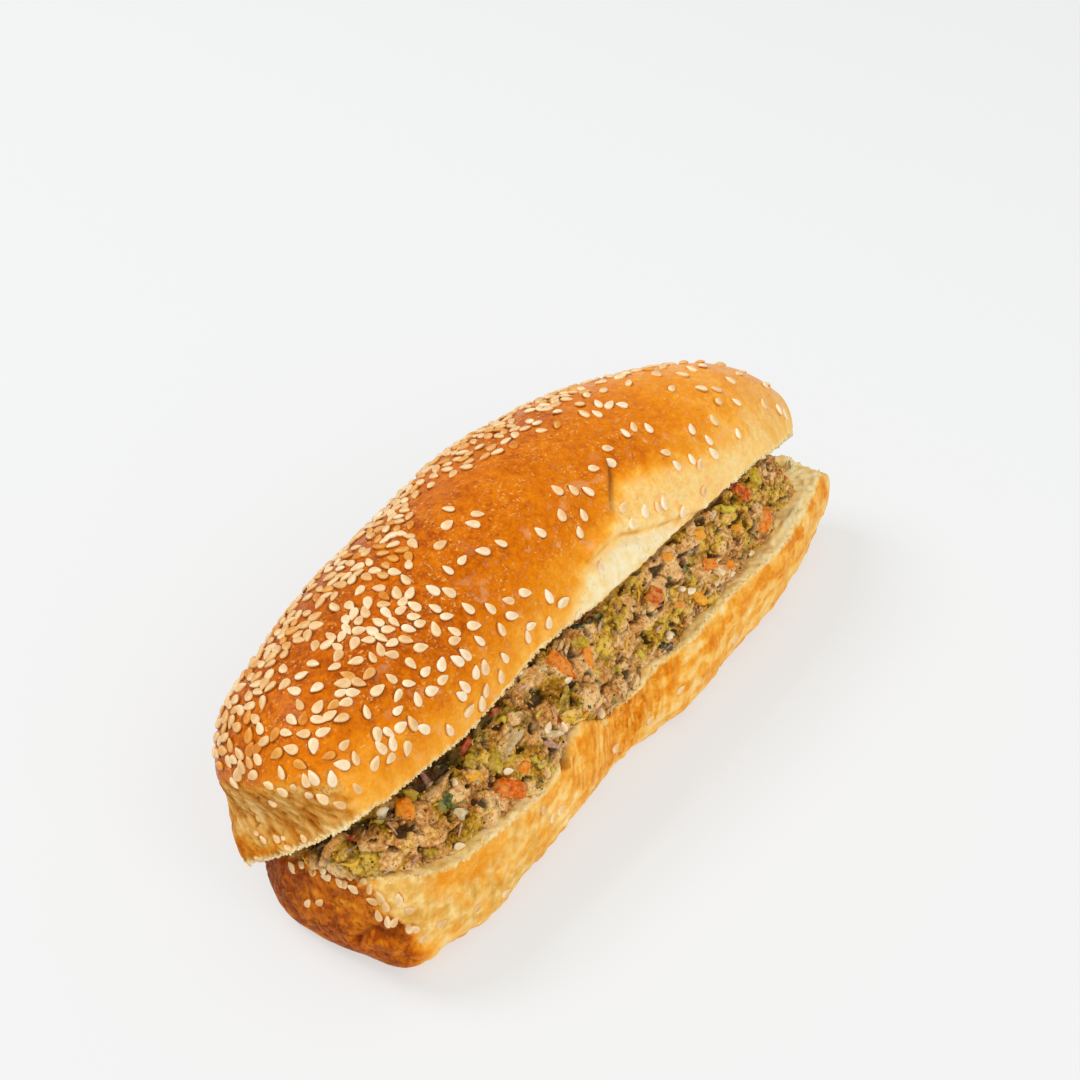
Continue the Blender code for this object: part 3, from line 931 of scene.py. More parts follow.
def shapeFilling():
    look = fillingLook
    core = copyOfNode("tuna_filling", "tunaSaladCore")
    remesh(core, 1, look["voxel"], 3)
    points = pointsOf(core)
    toCrown = distanceTo(crownTree, points)
    toBed = distanceTo(treeOf(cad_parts["bun_heel"]), points)
    foot = (toBed > 0.2) & (toBed < 1.6) & (toCrown > 1.5) & (points[:, 1] < 8)
    points = pulledTo(points, points[foot & towardsCamera(points, normalsOf(core))],
                      look["edgeLine"], 12, 45, True)
    past = np.maximum(points[:, 0] - look["farFrom"], 0)
    points[:, 0] -= past * (1 - look["farShare"])
    # the foot settles on the heel
    for i in np.flatnonzero(toBed < 4):
        place, _, _, drop = heelTree.ray_cast(Vector(points[i]) * mm, Vector((0, 0, -1)))
        if place is not None and drop < 5 * mm:
            points[i, 2] -= (drop / mm) * float(ease(4, 0.8, toBed[i])) * 0.95
    setPoints(core, points)
    for _ in range(2):
        points = pointsOf(core)
        seen = np.minimum(distanceTo(crownTree, points), distanceTo(heelTree, points)) > 0.8
        refine(core, seen & ((points[:, 1] < 2) | (points[:, 0] < -82)))
    points = pointsOf(core)
    normals = normalsOf(core)
    toCrown, toHeel = distanceTo(crownTree, points), distanceTo(heelTree, points)
    bare = ease(0.3, 2.0, toCrown) * ease(0.0, 0.8, toHeel)
    warped = stirred(stirred(points, 7, 2.2, 2.0), 2.2, 0.5, 9.0)
    rugged = 0.7 + 0.6 * ease(-0.3, 0.3, cloud(points, 12, 4.4))
    lumps = np.hypot(cloud(warped, (6.5, 6.5, 5.0), 3.7), 0.1)  # with soft creases
    clots = np.hypot(cloud(stirred(points, 3, 1.0, 5.0), 2.3, 8.1), 0.12)
    grains = cells(stirred(points, 1.5, 0.5, 1.0), 1.3, 5.3)[:, 0]
    height = rugged * (look["lumpHeight"] * (lumps - 0.25) + look["clotHeight"] * (clots - 0.25))
    height += look["grainHeight"] * rugged * (0.45 - grains) * ease(-0.3, 0.3, cloud(points, 3.5, 7.4))
    height += 0.35 * cloud(points, 0.8, 5.7) + 0.25 * cloud(points, 0.45, 2.8)
    pit = ease(0.18, 0.4, cloud(stirred(points, 2.2, 1.4, 6.0), (3.6, 2.2, 1.8), 9.3))
    pores = ease(0.24, 0.1, cells(stirred(points, 1.2, 0.5, 4.0), 1.7, 7.2)[:, 0])
    pores *= ease(-0.1, 0.1, cloud(points, 5, 1.3))
    height -= look["pitDepth"] * pit + look["poreDepth"] * pores
    gap = ease(6, 1, toCrown) * ease(-40, -72, points[:, 0])
    height -= look["gap"] * gap
    setPoints(core, points + normals * (bare * height - 0.4 * (1 - bare))[:, None])
    # painted shade: darker in the creases between lumps, in pits and pores, close under the crown, and in
    # the gap beneath its near part
    hollowShade = 0.5 * ease(0.14, 0.1, lumps) + 0.12 * ease(0.15, 0.12, clots) + 0.9 * pit + 0.7 * pores
    hollowShade += 0.8 * ease(2.6, 0.6, toCrown) + 0.9 * gap
    paint(core, "hollowShade", np.clip(bare * hollowShade * ease(0.2, 1.6, toHeel), 0, 0.88))
    paint(core, "pale", np.clip(2.2 * cloud(warped, 4.5, 1.9) + 1.2 * (clots - 0.2), -1, 1))
    paint(core, "oil", np.clip(ease(0.25, 0.0, lumps) * 0.6 + ease(-0.1, 0.3, cloud(points, 9, 6.2)), 0, 1))
    core.data.materials.append(makeMash("tunaMash", False))
    shadeSmooth(core)
    placeIn(core, "tuna_salad", "tuna_filling")
    return core, bare * ease(1.2, 2.6, toCrown)


core, coreBare = shapeFilling()
coreTree = treeOf(core)
print("filling's core is shaped:", len(core.data.polygons), "faces")


def template(piece):
    # a modelled piece's points and faces, kept for copying, and the piece removed
    points = pointsOf(piece)
    faces = [tuple(face.vertices) for face in piece.data.polygons]
    mesh = piece.data
    bpy.data.objects.remove(piece)
    bpy.data.meshes.remove(mesh)
    return points, faces


def restOn(place, normal, heading, size, lift, tilt=0.0, roll=0.0):
    # how a piece lies: its X along heading, its Z along the normal, tipped a little
    normal = Vector(normal).normalized()
    along = Vector(heading) - normal * Vector(heading).dot(normal)
    along.normalize()
    across = normal.cross(along)
    turned = Matrix((along, across, normal)).transposed()
    turned = turned @ Matrix.Rotation(tilt, 3, "Y") @ Matrix.Rotation(roll, 3, "X")
    scaled = turned @ Matrix.Diagonal(Vector(size))
    return np.array(scaled), np.array(Vector(place) + normal * lift)


def headingAt(pixel, place, normal, degrees):
    # the direction along the surface that shows at that angle in the photograph
    step = (pixel[0] + 3 * math.cos(math.radians(degrees)), pixel[1] - 3 * math.sin(math.radians(degrees)))
    start, direction = photoRay(step)
    normal = Vector(normal)
    reach = (Vector(place) * mm - start).dot(normal) / direction.dot(normal)
    return (start + direction * reach) / mm - Vector(place)


def anyHeading(normal):
    turned = Vector([dice.gauss(0, 1) for _ in range(3)])
    return turned - Vector(normal) * turned.dot(Vector(normal))


def joinPieces(name, templates, laid, material, slot):
    # laid holds (template number, turn and size, place, shade) for each piece
    allPoints, allFaces, shades, rims, starts = [], [], [], [], 0
    for number, turned, place, shade in laid:
        points, faces = templates[number]
        allPoints.append(points @ turned.T + place)
        allFaces += [tuple(i + starts for i in face) for face in faces]
        shades.append(np.full(len(points), shade))
        rims.append(np.linalg.norm(points[:, :2] / np.abs(points[:, :2]).max(0), axis=1))
        starts += len(points)
    mesh = bpy.data.meshes.new(name)
    mesh.from_pydata((np.concatenate(allPoints) * mm).tolist(), [], allFaces)
    piece = bpy.data.objects.new(name, mesh)
    bpy.context.scene.collection.objects.link(piece)
    paint(piece, "shade", np.concatenate(shades))
    paint(piece, "rim", np.clip(np.concatenate(rims), 0, 1))
    mesh.materials.append(material)
    shadeSmooth(piece)
    placeIn(piece, slot)
    return piece


def sampleSurface(piece, count, keep):
    # seeded points on a piece's faces, with their normals, more of them where keep is high
    mesh = piece.data
    mesh.calc_loop_triangles()
    corners = np.empty(len(mesh.loop_triangles) * 3, np.int32)
    mesh.loop_triangles.foreach_get("vertices", corners)
    corners = corners.reshape(-1, 3)
    points = pointsOf(piece)
    normals = normalsOf(piece)
    a, b, c = (points[corners[:, i]] for i in range(3))
    area = np.linalg.norm(np.cross(b - a, c - a), axis=1) * keep[corners].mean(1)
    numbers = np.random.default_rng(dice.randrange(10 ** 6))
    chosen = numbers.choice(len(area), size=count, p=area / area.sum())
    u, v = numbers.random(count), numbers.random(count)
    over = u + v > 1
    u[over], v[over] = 1 - u[over], 1 - v[over]
    places = a[chosen] + u[:, None] * (b - a)[chosen] + v[:, None] * (c - a)[chosen]
    return places, normals[corners[chosen]].mean(1)


def spread(places, spacing, taken=(), size=3.0):
    # the numbers of the places that are no nearer to an earlier one than their spacing
    cellsNear = [(i, j, k) for i in (-1, 0, 1) for j in (-1, 0, 1) for k in (-1, 0, 1)]
    size = max(size, float(np.max(spacing)))
    grid, kept = {}, []

    def cellOf(p):
        return tuple(int(math.floor(c / size)) for c in p)

    for p in taken:
        grid.setdefault(cellOf(p), []).append(tuple(p))
    for i, p in enumerate(places.tolist()):
        here = cellOf(p)
        gap = spacing[i] ** 2
        near = (q for dx, dy, dz in cellsNear
                for q in grid.get((here[0] + dx, here[1] + dy, here[2] + dz), ()))
        if all((p[0] - q[0]) ** 2 + (p[1] - q[1]) ** 2 + (p[2] - q[2]) ** 2 >= gap for q in near):
            kept.append(i)
            grid.setdefault(here, []).append(tuple(p))
    return kept


seedLook = {
    "long": 2.95,
    "wide": 1.85,
    "thick": 1.2,
    "glazeAndShadeRim": 0.2,          # how far the glaze, with its painted contact shade, reaches out round a seed
    "tries": 26000,
    "spaceTight": 2.1,
    "spaceLoose": 8.0,
    "toastedShare": 0.08,
    "endFrom": 780,           # photo row below which seeds lie on the crown's rough end
    "smallFrom": 825,         # and the one below which they are smallest
    "toastedOutline": [(365, 540), (430, 505), (480, 540), (470, 600), (400, 620), (360, 590)],
}


def asEgg(points):
    # an ellipse or ellipsoid of a seed's length, drawn to a point at its +X end
    half = seedLook["long"] / 2
    t = points[:, 0] / half
    tip = np.clip(t, 0, 1)
    points[:, 1] *= 1.04 - 0.24 * t - 0.16 * tip ** 2
    points[:, 2] *= 1.0 - 0.3 * tip ** 2
    points[:, 0] += 0.16 * half * tip ** 4
    return points


def modelSeed():
    bpy.ops.mesh.primitive_uv_sphere_add(segments=10, ring_count=7, radius=0.5 * mm,
                                         rotation=(0, math.pi / 2, 0))
    seed = bpy.context.object
    bpy.ops.object.transform_apply(location=False, rotation=True, scale=False)
    editAll()
    bpy.ops.transform.resize(value=(seedLook["long"], seedLook["wide"], seedLook["thick"]))
    bpy.ops.object.mode_set(mode="OBJECT")
    setPoints(seed, asEgg(pointsOf(seed)))
    return template(seed)


def makeSeedMaterial():
    material, tree, shader, where = newMaterial("sesameSkin")
    shade = attribute(tree, "shade")
    body = ramp(tree, shade, [(0.0, (255, 242, 214)), (0.4, (252, 226, 178)), (0.7, (236, 192, 128)),
                              (0.85, (234, 168, 70)), (1.0, (222, 138, 30))])
    middle = ramp(tree, shade, [(0.0, (250, 226, 190)), (0.4, (238, 200, 148)), (0.7, (218, 168, 106)),
                                (0.85, (216, 144, 46)), (1.0, (204, 114, 14))])
    colour = blend(tree, between(tree, attribute(tree, "rim"), 0.4, 0.75), middle, body)
    colour = blend(tree, between(tree, grain(tree, where, 0.8, 2), 0.5, 0.75, 0, 0.3), colour,
                   toLinear((222, 176, 120)))
    tree.links.new(colour, shader.inputs["Base Color"])
    shader.inputs["Roughness"].default_value = 0.4
    shader.inputs["Specular IOR Level"].default_value = 0.3
    soften(shader, 0.15, (1.0, 0.6, 0.3), 0.5)
    roughen(tree, shader, grain(tree, where, 0.4, 2), 0.25, 0.05)
    return material


def modelGlazeAndShade():
    # the thin skirt of glaze that holds a seed, an egg shape a little larger than it; darker than the
    # crust, it is also painted contact shade
    bpy.ops.mesh.primitive_circle_add(vertices=14, radius=0.5 * mm, fill_type="TRIFAN")
    skirt = bpy.context.object
    editAll()
    bpy.ops.transform.resize(value=(seedLook["long"], seedLook["wide"], 1))
    bpy.ops.object.mode_set(mode="OBJECT")
    points = asEgg(pointsOf(skirt))
    out = np.linalg.norm(points[:, :2], axis=1, keepdims=True)
    points[:, :2] *= 1 + seedLook["glazeAndShadeRim"] / np.maximum(out, 0.5)
    points[:, 2] = np.where(out[:, 0] > 0.5, -0.22, 0.2)
    setPoints(skirt, points)
    return template(skirt)


def makeGlazeAndShade():
    material, tree, shader, where = newMaterial("seedGlazeAndShade")
    # coloured by the bake under the seed, but darker than the crust there: painted contact shade round the
    # seed
    colour = ramp(tree, attribute(tree, "shade"), [(0.0, (248, 206, 130)), (0.45, (226, 150, 50)),
                                                   (0.8, (176, 88, 4)), (1.0, (140, 60, 0))])
    tree.links.new(colour, shader.inputs["Base Color"])
    shader.inputs["Roughness"].default_value = 0.35
    shader.inputs["Specular IOR Level"].default_value = 0.15
    roughen(tree, shader, grain(tree, where, 0.5, 2), 0.3, 0.05)
    return material


def addGlazeAndShade(name, bread, laid, slot):
    # under each laid seed a skirt of glaze and painted contact shade, coloured by the bake beneath
    bake = painted(bread, "bake")
    tree = searchTree(pointsOf(bread).tolist())
    skirts = []
    for _, turned, spot, _ in laid:
        up = turned[:, 2] / np.linalg.norm(turned[:, 2])
        skirts.append((0, turned, spot - 0.16 * up, float(bake[tree.find(spot)[1]])))
    joinPieces(name, [glazeAndShadeTemplate], skirts, glazeAndShadeMaterial, slot)


seedTemplate = modelSeed()
seedMaterial = makeSeedMaterial()
glazeAndShadeTemplate = modelGlazeAndShade()
glazeAndShadeMaterial = makeGlazeAndShade()

# Seeds where they lie far apart: two pixels, and the angle in the photograph of the pointed end
loneSeeds = [
    (607, 449, 0), (593, 469, 0), (610, 463, 155), (573, 491, 135), (588, 492, 150), (583, 516, 120),
    (579, 533, 100), (557, 491, 140), (561, 516, 110), (625, 434, 135), (633, 428, 115), (648, 429, 125),
    (691, 430, 105), (713, 421, 120), (708, 441, 125), (737, 434, 105), (665, 453, 175), (691, 460, 120),
    (699, 465, 90), (676, 466, 135), (713, 454, 130), (703, 491, 80), (622, 508, 70), (644, 512, 95),
    (658, 509, 120), (663, 504, 100), (682, 512, 90), (632, 524, 90), (601, 568, 100), (563, 602, 45),
    (578, 615, 60), (584, 415, 150), (597, 415, 150), (598, 405, 130), (609, 406, 45), (622, 406, 170),
    (701, 389, 170), (716, 390, 165), (718, 402, 60), (736, 403, 145), (763, 405, 120), (778, 410, 110),
    (784, 415, 110), (449, 510, 175), (477, 515, 0), (473, 525, 170), (447, 526, 35), (501, 544, 155),
    (483, 552, 175), (540, 533, 140), (462, 561, 50), (448, 571, 145), (440, 546, 30), (433, 591, 150),
    (449, 593, 155), (435, 609, 150), (446, 617, 10), (468, 609, 140), (490, 609, 140), (508, 601, 170),
    (524, 593, 0), (548, 597, 110), (561, 603, 50), (511, 616, 0), (530, 626, 30), (548, 623, 90),
    (527, 637, 100), (501, 630, 120), (473, 626, 5), (454, 632, 150), (435, 630, 110), (454, 641, 20),
    (479, 641, 140), (420, 648, 10), (465, 655, 140), (457, 661, 150), (441, 665, 80), (484, 668, 100),
    (475, 673, 90), (504, 658, 130), (425, 672, 45), (500, 677, 100), (442, 680, 40), (464, 687, 135),
    (485, 691, 85), (461, 696, 150), (431, 691, 20), (417, 700, 105), (481, 704, 90), (468, 711, 60),
    (412, 724, 120), (423, 729, 160), (449, 730, 120), (392, 744, 100), (355, 759, 110), (269, 785, 155),
    (283, 792, 150), (294, 787, 85), (309, 795, 140), (323, 799, 145), (340, 805, 165), (357, 789, 125),
    (332, 779, 100), (306, 781, 110), (314, 778, 120), (273, 802, 145), (264, 840, 130), (257, 833, 120),
    (277, 839, 130), (284, 837, 110), (304, 839, 130), (288, 848, 150), (259, 859, 150), (271, 859, 10),
]
loneZone = [(410, 500), (470, 470), (560, 425), (620, 398), (700, 385), (800, 392), (800, 440), (640, 575),
            (450, 760), (400, 745), (425, 640)]
heelSeeds = [
    (293, 868, 125), (302, 865, 130), (313, 872, 160), (323, 870, 150), (327, 877, 170), (335, 872, 165),
    (340, 883, 130), (345, 884, 130), (351, 877, 150), (354, 889, 150), (364, 881, 175), (370, 889, 80),
    (373, 901, 160), (381, 897, 120), (386, 906, 110), (379, 915, 100), (388, 922, 90), (394, 922, 60),
    (399, 899, 100), (409, 910, 150), (409, 928, 100), (415, 929, 150), (423, 938, 40), (441, 924, 40),
    (308, 903, 60), (320, 902, 50), (534, 799, 100), (543, 810, 100), (505, 893, 45), (477, 908, 50),
    (560, 810, 60), (552, 818, 80), (615, 748, 55), (650, 720, 50), (680, 690, 50), (735, 640, 60),
]
seedsOnFilling = [
    (751, 553, 20), (721, 571, 140), (732, 574, 30), (716, 582, 70), (681, 589, 170), (691, 591, 20),
    (698, 619, 130), (669, 635, 100), (623, 687, 60), (568, 680, 30), (548, 728, 70), (564, 727, 110),
    (508, 771, 10), (455, 783, 110), (547, 773, 80), (601, 713, 100), (513, 808, 30), (459, 846, 10),
]


def laySeed(tree, pixel, degrees, laid, shade=None, lift=0.28, scale=1.0):
    place, normal = landing(tree, pixel)
    if place is None:
        return
    heading = headingAt(pixel, place, normal, degrees)
    size = scale * dice.uniform(0.9, 1.08)
    turned, spot = restOn(place, normal, heading, (size, size * dice.uniform(0.92, 1.08), size),
                          lift, dice.gauss(0, 0.06), dice.gauss(0, 0.1))
    laid.append((0, turned, spot, dice.betavariate(2, 4) * 0.8 if shade is None else shade))


def sowCrown():
    laid = []
    overPale = insideOutline(np.array(loneSeeds, float)[:, :2], crownLook["creamOutline"], 12) > 0.3
    for (px, py, degrees), sunk in zip(loneSeeds, overPale):
        if sunk:
            laySeed(crownTree, (px, py), degrees, laid, 0.3, 0.0)
        elif py > seedLook["endFrom"]:
            scale = 0.86 if py < seedLook["smallFrom"] else 0.68
            laySeed(crownTree, (px, py), degrees, laid, dice.uniform(0.4, 0.68), 0.1, scale)
        else:
            laySeed(crownTree, (px, py), degrees, laid)
    places, normals = sampleSurface(crown, seedLook["tries"], 1.0 - painted(crown, "crumb"))
    x, y, z = places.T
    around = np.degrees(np.arctan2(z - 36, 6.0 - y))           # 0 front, 90 top, 180 back
    dense = ease(22, 55, around) * (1 - 0.75 * ease(-35, 15, x) * ease(108, 84, around))
    dense *= 1 - 0.3 * ease(30, 80, x)
    dense = np.maximum(dense, 0.8 * ease(-40, -62, x) * ease(8, 26, around))
    dense *= ease(-24, -8, around) * ease(212, 164, around)
    dense *= 1 - ease(-89, -93, x) * ease(41, 37, z + 0.5 * y)
    seen = towardsCamera(places, normals)
    lone = (insideOutline(toPhoto(places), loneZone, 2.0) > 0.5) & seen
    dense = np.where(lone, 0, dense * (0.85 + 0.7 * cloud(places, 8, 3.0)))
    loose = (1 - np.clip(dense, 0, 1)) ** 1.5
    spacing = seedLook["spaceTight"] + (seedLook["spaceLoose"] - seedLook["spaceTight"]) * loose
    spacing *= np.array([dice.uniform(0.85, 1.2) for _ in places])
    wanted = np.array([dice.random() for _ in places]) < np.clip(dense * 1.3, 0, 1)
    golden = (insideOutline(toPhoto(places), seedLook["toastedOutline"], 8.0) > 0.3) & seen
    places, normals, spacing, golden = places[wanted], normals[wanted], spacing[wanted], golden[wanted]
    for i in spread(places, spacing, [spot for _, _, spot, _ in laid]):
        size = dice.uniform(0.86, 1.08)
        toasted = dice.random() < (0.4 if golden[i] else seedLook["toastedShare"])
        turned, spot = restOn(places[i], normals[i], anyHeading(normals[i]),
                              (size, size * dice.uniform(0.9, 1.1), size), 0.26,
                              dice.gauss(0, 0.09), dice.gauss(0, 0.16))
        beige = 0.28 + 0.3 * float(ease(-20, 20, places[i][1])) + 0.1 * float(ease(-50, -85, places[i][0]))
        shade = dice.uniform(0.76, 1) if toasted else min(0.78, max(0.02, dice.gauss(beige, 0.14)))
        laid.append((0, turned, spot, shade))
    joinPieces("crownSeeds", [seedTemplate], laid, seedMaterial, "sesame_seed")
    addGlazeAndShade("crownSeedGlazeAndShade", crown, laid, "crown_crust")
    return len(laid)


def sowFromPhoto(name, tree, seeds, low, high):
    laid = []
    for px, py, degrees in seeds:
        laySeed(tree, (px, py), degrees, laid, dice.uniform(low, high), 0.1, 0.85)
    joinPieces(name, [seedTemplate], laid, seedMaterial, "sesame_seed")
    return laid


print("seeds on the crown:", sowCrown())
onHeel = sowFromPhoto("heelSeeds", heelTree, heelSeeds, 0.4, 0.74)
addGlazeAndShade("heelSeedGlazeAndShade", heel, onHeel, "heel_crust")
onFilling = sowFromPhoto("fillingSeeds", coreTree, seedsOnFilling, 0.1, 0.7)
print("seeds on the heel:", len(onHeel), "and on the filling:", len(onFilling))


# The templates below are one millimetre each way, and are sized where they are laid.

def modelLump(unevenness, seed, rings=2):
    # a rough lump, for mashed fish, herbs and crumbs
    bpy.ops.mesh.primitive_ico_sphere_add(subdivisions=rings, radius=0.5 * mm)
    lump = bpy.context.object
    points = pointsOf(lump)
    shape = cloud(points, 0.5, seed) + 0.5 * cloud(points, 0.22, seed + 5)
    setPoints(lump, points * (1 + 2 * unevenness * shape)[:, None])
    return template(lump)


def modelDice(seed, pinch=0.0, unevenness=0.2):
    # a knife-cut piece of vegetable with soft edges
    bpy.ops.mesh.primitive_cube_add(size=1 * mm)
    piece = bpy.context.object
    editAll()
    bpy.ops.mesh.bevel(offset=0.27 * mm, segments=3, affect="EDGES")
    bpy.ops.mesh.subdivide(number_cuts=1)
    bpy.ops.object.mode_set(mode="OBJECT")
    points = pointsOf(piece)
    points[:, 1] *= 1 - pinch * (points[:, 0] + 0.5)
    points += unevenness * np.stack([cloud(points, 0.5, seed + s) for s in (0, 4, 8)], 1)
    points += 0.4 * unevenness * np.stack([cloud(points, 0.2, seed + s) for s in (1, 5, 9)], 1)
    setPoints(piece, points)
    return template(piece)


def modelShred(bend, sides=6, steps=8):
    # a thin curved strip, drawn out of a ring step by step
    bpy.ops.mesh.primitive_circle_add(vertices=sides, radius=0.5 * mm, fill_type="NGON",
                                      rotation=(0, math.pi / 2, 0))
    strip = bpy.context.object
    bpy.ops.object.transform_apply(location=False, rotation=True, scale=False)
    editAll()
    for _ in range(steps):
        bpy.ops.mesh.extrude_region_move(TRANSFORM_OT_translate={"value": (mm / steps, 0, 0)})
    bpy.ops.mesh.select_all(action="SELECT")
    bpy.ops.mesh.normals_make_consistent(inside=False)
    bpy.ops.object.mode_set(mode="OBJECT")
    points = pointsOf(strip)
    t = points[:, 0].copy()
    points[:, 1:] *= (0.35 + 0.65 * np.sin(np.pi * np.clip(t, 0.08, 0.92)))[:, None]
    points[:, 0] -= 0.5
    points[:, 1] += bend * (4 * (t - 0.5) ** 2 - 0.5)
    setPoints(strip, points)
    return template(strip)


def modelLeaf(seed):
    # a crumpled scrap of leaf
    bpy.ops.mesh.primitive_grid_add(x_subdivisions=7, y_subdivisions=5, size=1 * mm)
    leaf = bpy.context.object
    points = pointsOf(leaf)
    points[:, 1] *= 0.35 + 0.65 * np.cos(points[:, 0] * 2.4)
    points[:, 2] += 0.8 * cloud(points, 0.5, seed) + 0.4 * cloud(points, 0.25, seed + 3)
    setPoints(leaf, points)
    finishWith(leaf, "SOLIDIFY", thickness=0.12 * mm, offset=0)
    return template(leaf)


def makeBit(name, stops, grainSize, roughness, softness, dressing=None):
    # a material for small pieces, whose colour follows each piece's shade, with smears of dressing or none
    material, tree, shader, where = newMaterial(name)
    small = between(tree, grain(tree, where, grainSize, 3), 0.3, 0.7, -0.32, 0.32)
    colour = ramp(tree, plus(tree, attribute(tree, "shade"), small, True), stops)
    if dressing:
        smears = between(tree, grain(tree, where, 1.4, 4, 0.65), 0.46, 0.64, 0, 0.8)
        colour = blend(tree, smears, colour, toLinear(dressing))
    tree.links.new(colour, shader.inputs["Base Color"])
    shader.inputs["Roughness"].default_value = roughness
    shader.inputs["Specular IOR Level"].default_value = 0.22
    soften(shader, softness, (1.0, 0.5, 0.2), 0.8)
    roughen(tree, shader, grain(tree, where, 0.7, 4), 0.8, 0.25)
    return material


bitLook = {                    # colours by shade, size of grain, roughness, softness, colour of dressing
    "choppedHerb": ([(0.0, (40, 30, 10)), (0.5, (74, 84, 34)), (1.0, (140, 138, 62))],
                    0.6, 0.5, 0.05, (176, 160, 96)),
    "greenPickle": ([(0.0, (104, 74, 4)), (0.35, (158, 120, 10)), (0.7, (196, 162, 22)),
                     (1.0, (222, 204, 60))], 0.8, 0.35, 0.2, (216, 182, 96)),
    "cutCarrot": ([(0.0, (170, 62, 0)), (0.35, (226, 104, 0)), (0.7, (244, 146, 14)),
                   (1.0, (244, 184, 44))], 0.8, 0.35, 0.1, (230, 166, 78)),
    "redPepper": ([(0.0, (116, 18, 0)), (0.5, (170, 52, 8)), (1.0, (212, 104, 44))],
                  0.8, 0.35, 0.1, (204, 126, 60)),
    "yellowShred": ([(0.0, (196, 128, 24)), (0.5, (232, 176, 44)), (1.0, (244, 208, 96))],
                    0.9, 0.4, 0.2),
    "paleOnion": ([(0.0, (178, 146, 96)), (0.5, (212, 190, 142)), (1.0, (232, 218, 184))],
                  0.8, 0.35, 0.25, (196, 158, 84)),
    "tunaFibre": ([(0.0, (132, 88, 70)), (0.5, (186, 140, 116)), (1.0, (216, 176, 150))],
                  0.8, 0.5, 0.15),
    "groundPepper": ([(0.0, (22, 14, 8)), (1.0, (66, 42, 22))], 0.3, 0.7, 0.0),
    "breadCrumb": ([(0.0, (240, 200, 134)), (0.5, (250, 224, 168)), (1.0, (254, 240, 204))],
                   0.7, 0.8, 0.3),
}
bitMaterials = {"tunaFlakeFlesh": makeMash("tunaFlakeFlesh", True)}
for name, values in bitLook.items():
    bitMaterials[name] = makeBit(name, *values)


scatter = {                    # tries, spacing, shortest, longest, width and thickness to 1, lift
    "tunaFlakes": (1200, 4.6, 1.6, 4.2, 0.6, 0.28, -0.25),
    "mashGrains": (4200, 1.7, 0.4, 1.0, 0.75, 0.6, 0.0),
    "greenBits": (300, 6.5, 1.4, 3.2, 0.65, 0.5, 0.0),
    "herbFlecks": (220, 5.5, 0.8, 1.9, 0.55, 0.3, 0.3),
    "pepperSpecks": (360, 3.2, 0.3, 0.65, 0.8, 0.6, 0.5),
    "yellowShreds": (110, 10.0, 2.2, 4.6, 0.16, 0.13, 0.5),
    "carrotBits": (60, 15.0, 1.4, 2.6, 0.8, 0.6, 0.0),
    "redPepperBits": (30, 26.0, 1.0, 2.0, 0.7, 0.5, 0.1),
    "paleBits": (120, 10.0, 1.4, 3.0, 0.45, 0.35, 0.1),
    "tunaFibres": (260, 5.0, 1.8, 4.0, 0.22, 0.17, 0.4),
}


def scatterOnFilling(name, templates, material, slot, tip=0.35):
    tries, gap, short, long, wide, thick, lift = scatter[name]
    places, normals = sampleSurface(core, tries, coreBare ** 2)
    laid = byHand(handPlaced.get(name, ()), coreTree)
    spacing = np.array([gap * dice.uniform(0.7, 1.35) for _ in places])
    taken = [spot for _, _, spot, _ in laid] + (handSpots if name == "tunaFlakes" else [])
    for i in spread(places, spacing, taken, gap):
        size = short + (long - short) * dice.random() ** 1.6
        heading = anyHeading(normals[i])
        across = size * wide * dice.uniform(0.75, 1.25)
        depth = size * thick * dice.uniform(0.8, 1.2)
        turned, spot = restOn(places[i], normals[i], heading, (size, across, depth),
                              lift * size * thick, dice.gauss(0, tip), dice.gauss(0, tip))
        laid.append((dice.randrange(len(templates)), turned, spot, dice.random()))
    joinPieces(name, templates, laid, material, slot)
    return len(laid)


def byHand(items, tree):
    # items hold two pixels, the heading in the photograph, the template, its length and width in pixels,
    # its thickness as a share of the width, and its shade
    laid = []
    for px, py, degrees, number, long, wide, thick, shade in items:
        place, normal = landing(tree, (px, py))
        if place is None:
            continue
        toCamera = Vector(view["place"]) - place
        pixel = pixelAt(toCamera.dot(camera.matrix_world.to_3x3().col[2]))
        normal = (normal + toCamera.normalized() * 1.4).normalized()
        heading = headingAt((px, py), place, normal, degrees)
        size = (long * pixel, wide * pixel, wide * thick * pixel)
        turned, spot = restOn(place, normal, heading, size, -0.05 * size[2],
                              dice.gauss(0, 0.1), dice.gauss(0, 0.1))
        laid.append((number, turned, spot, shade))
    return laid


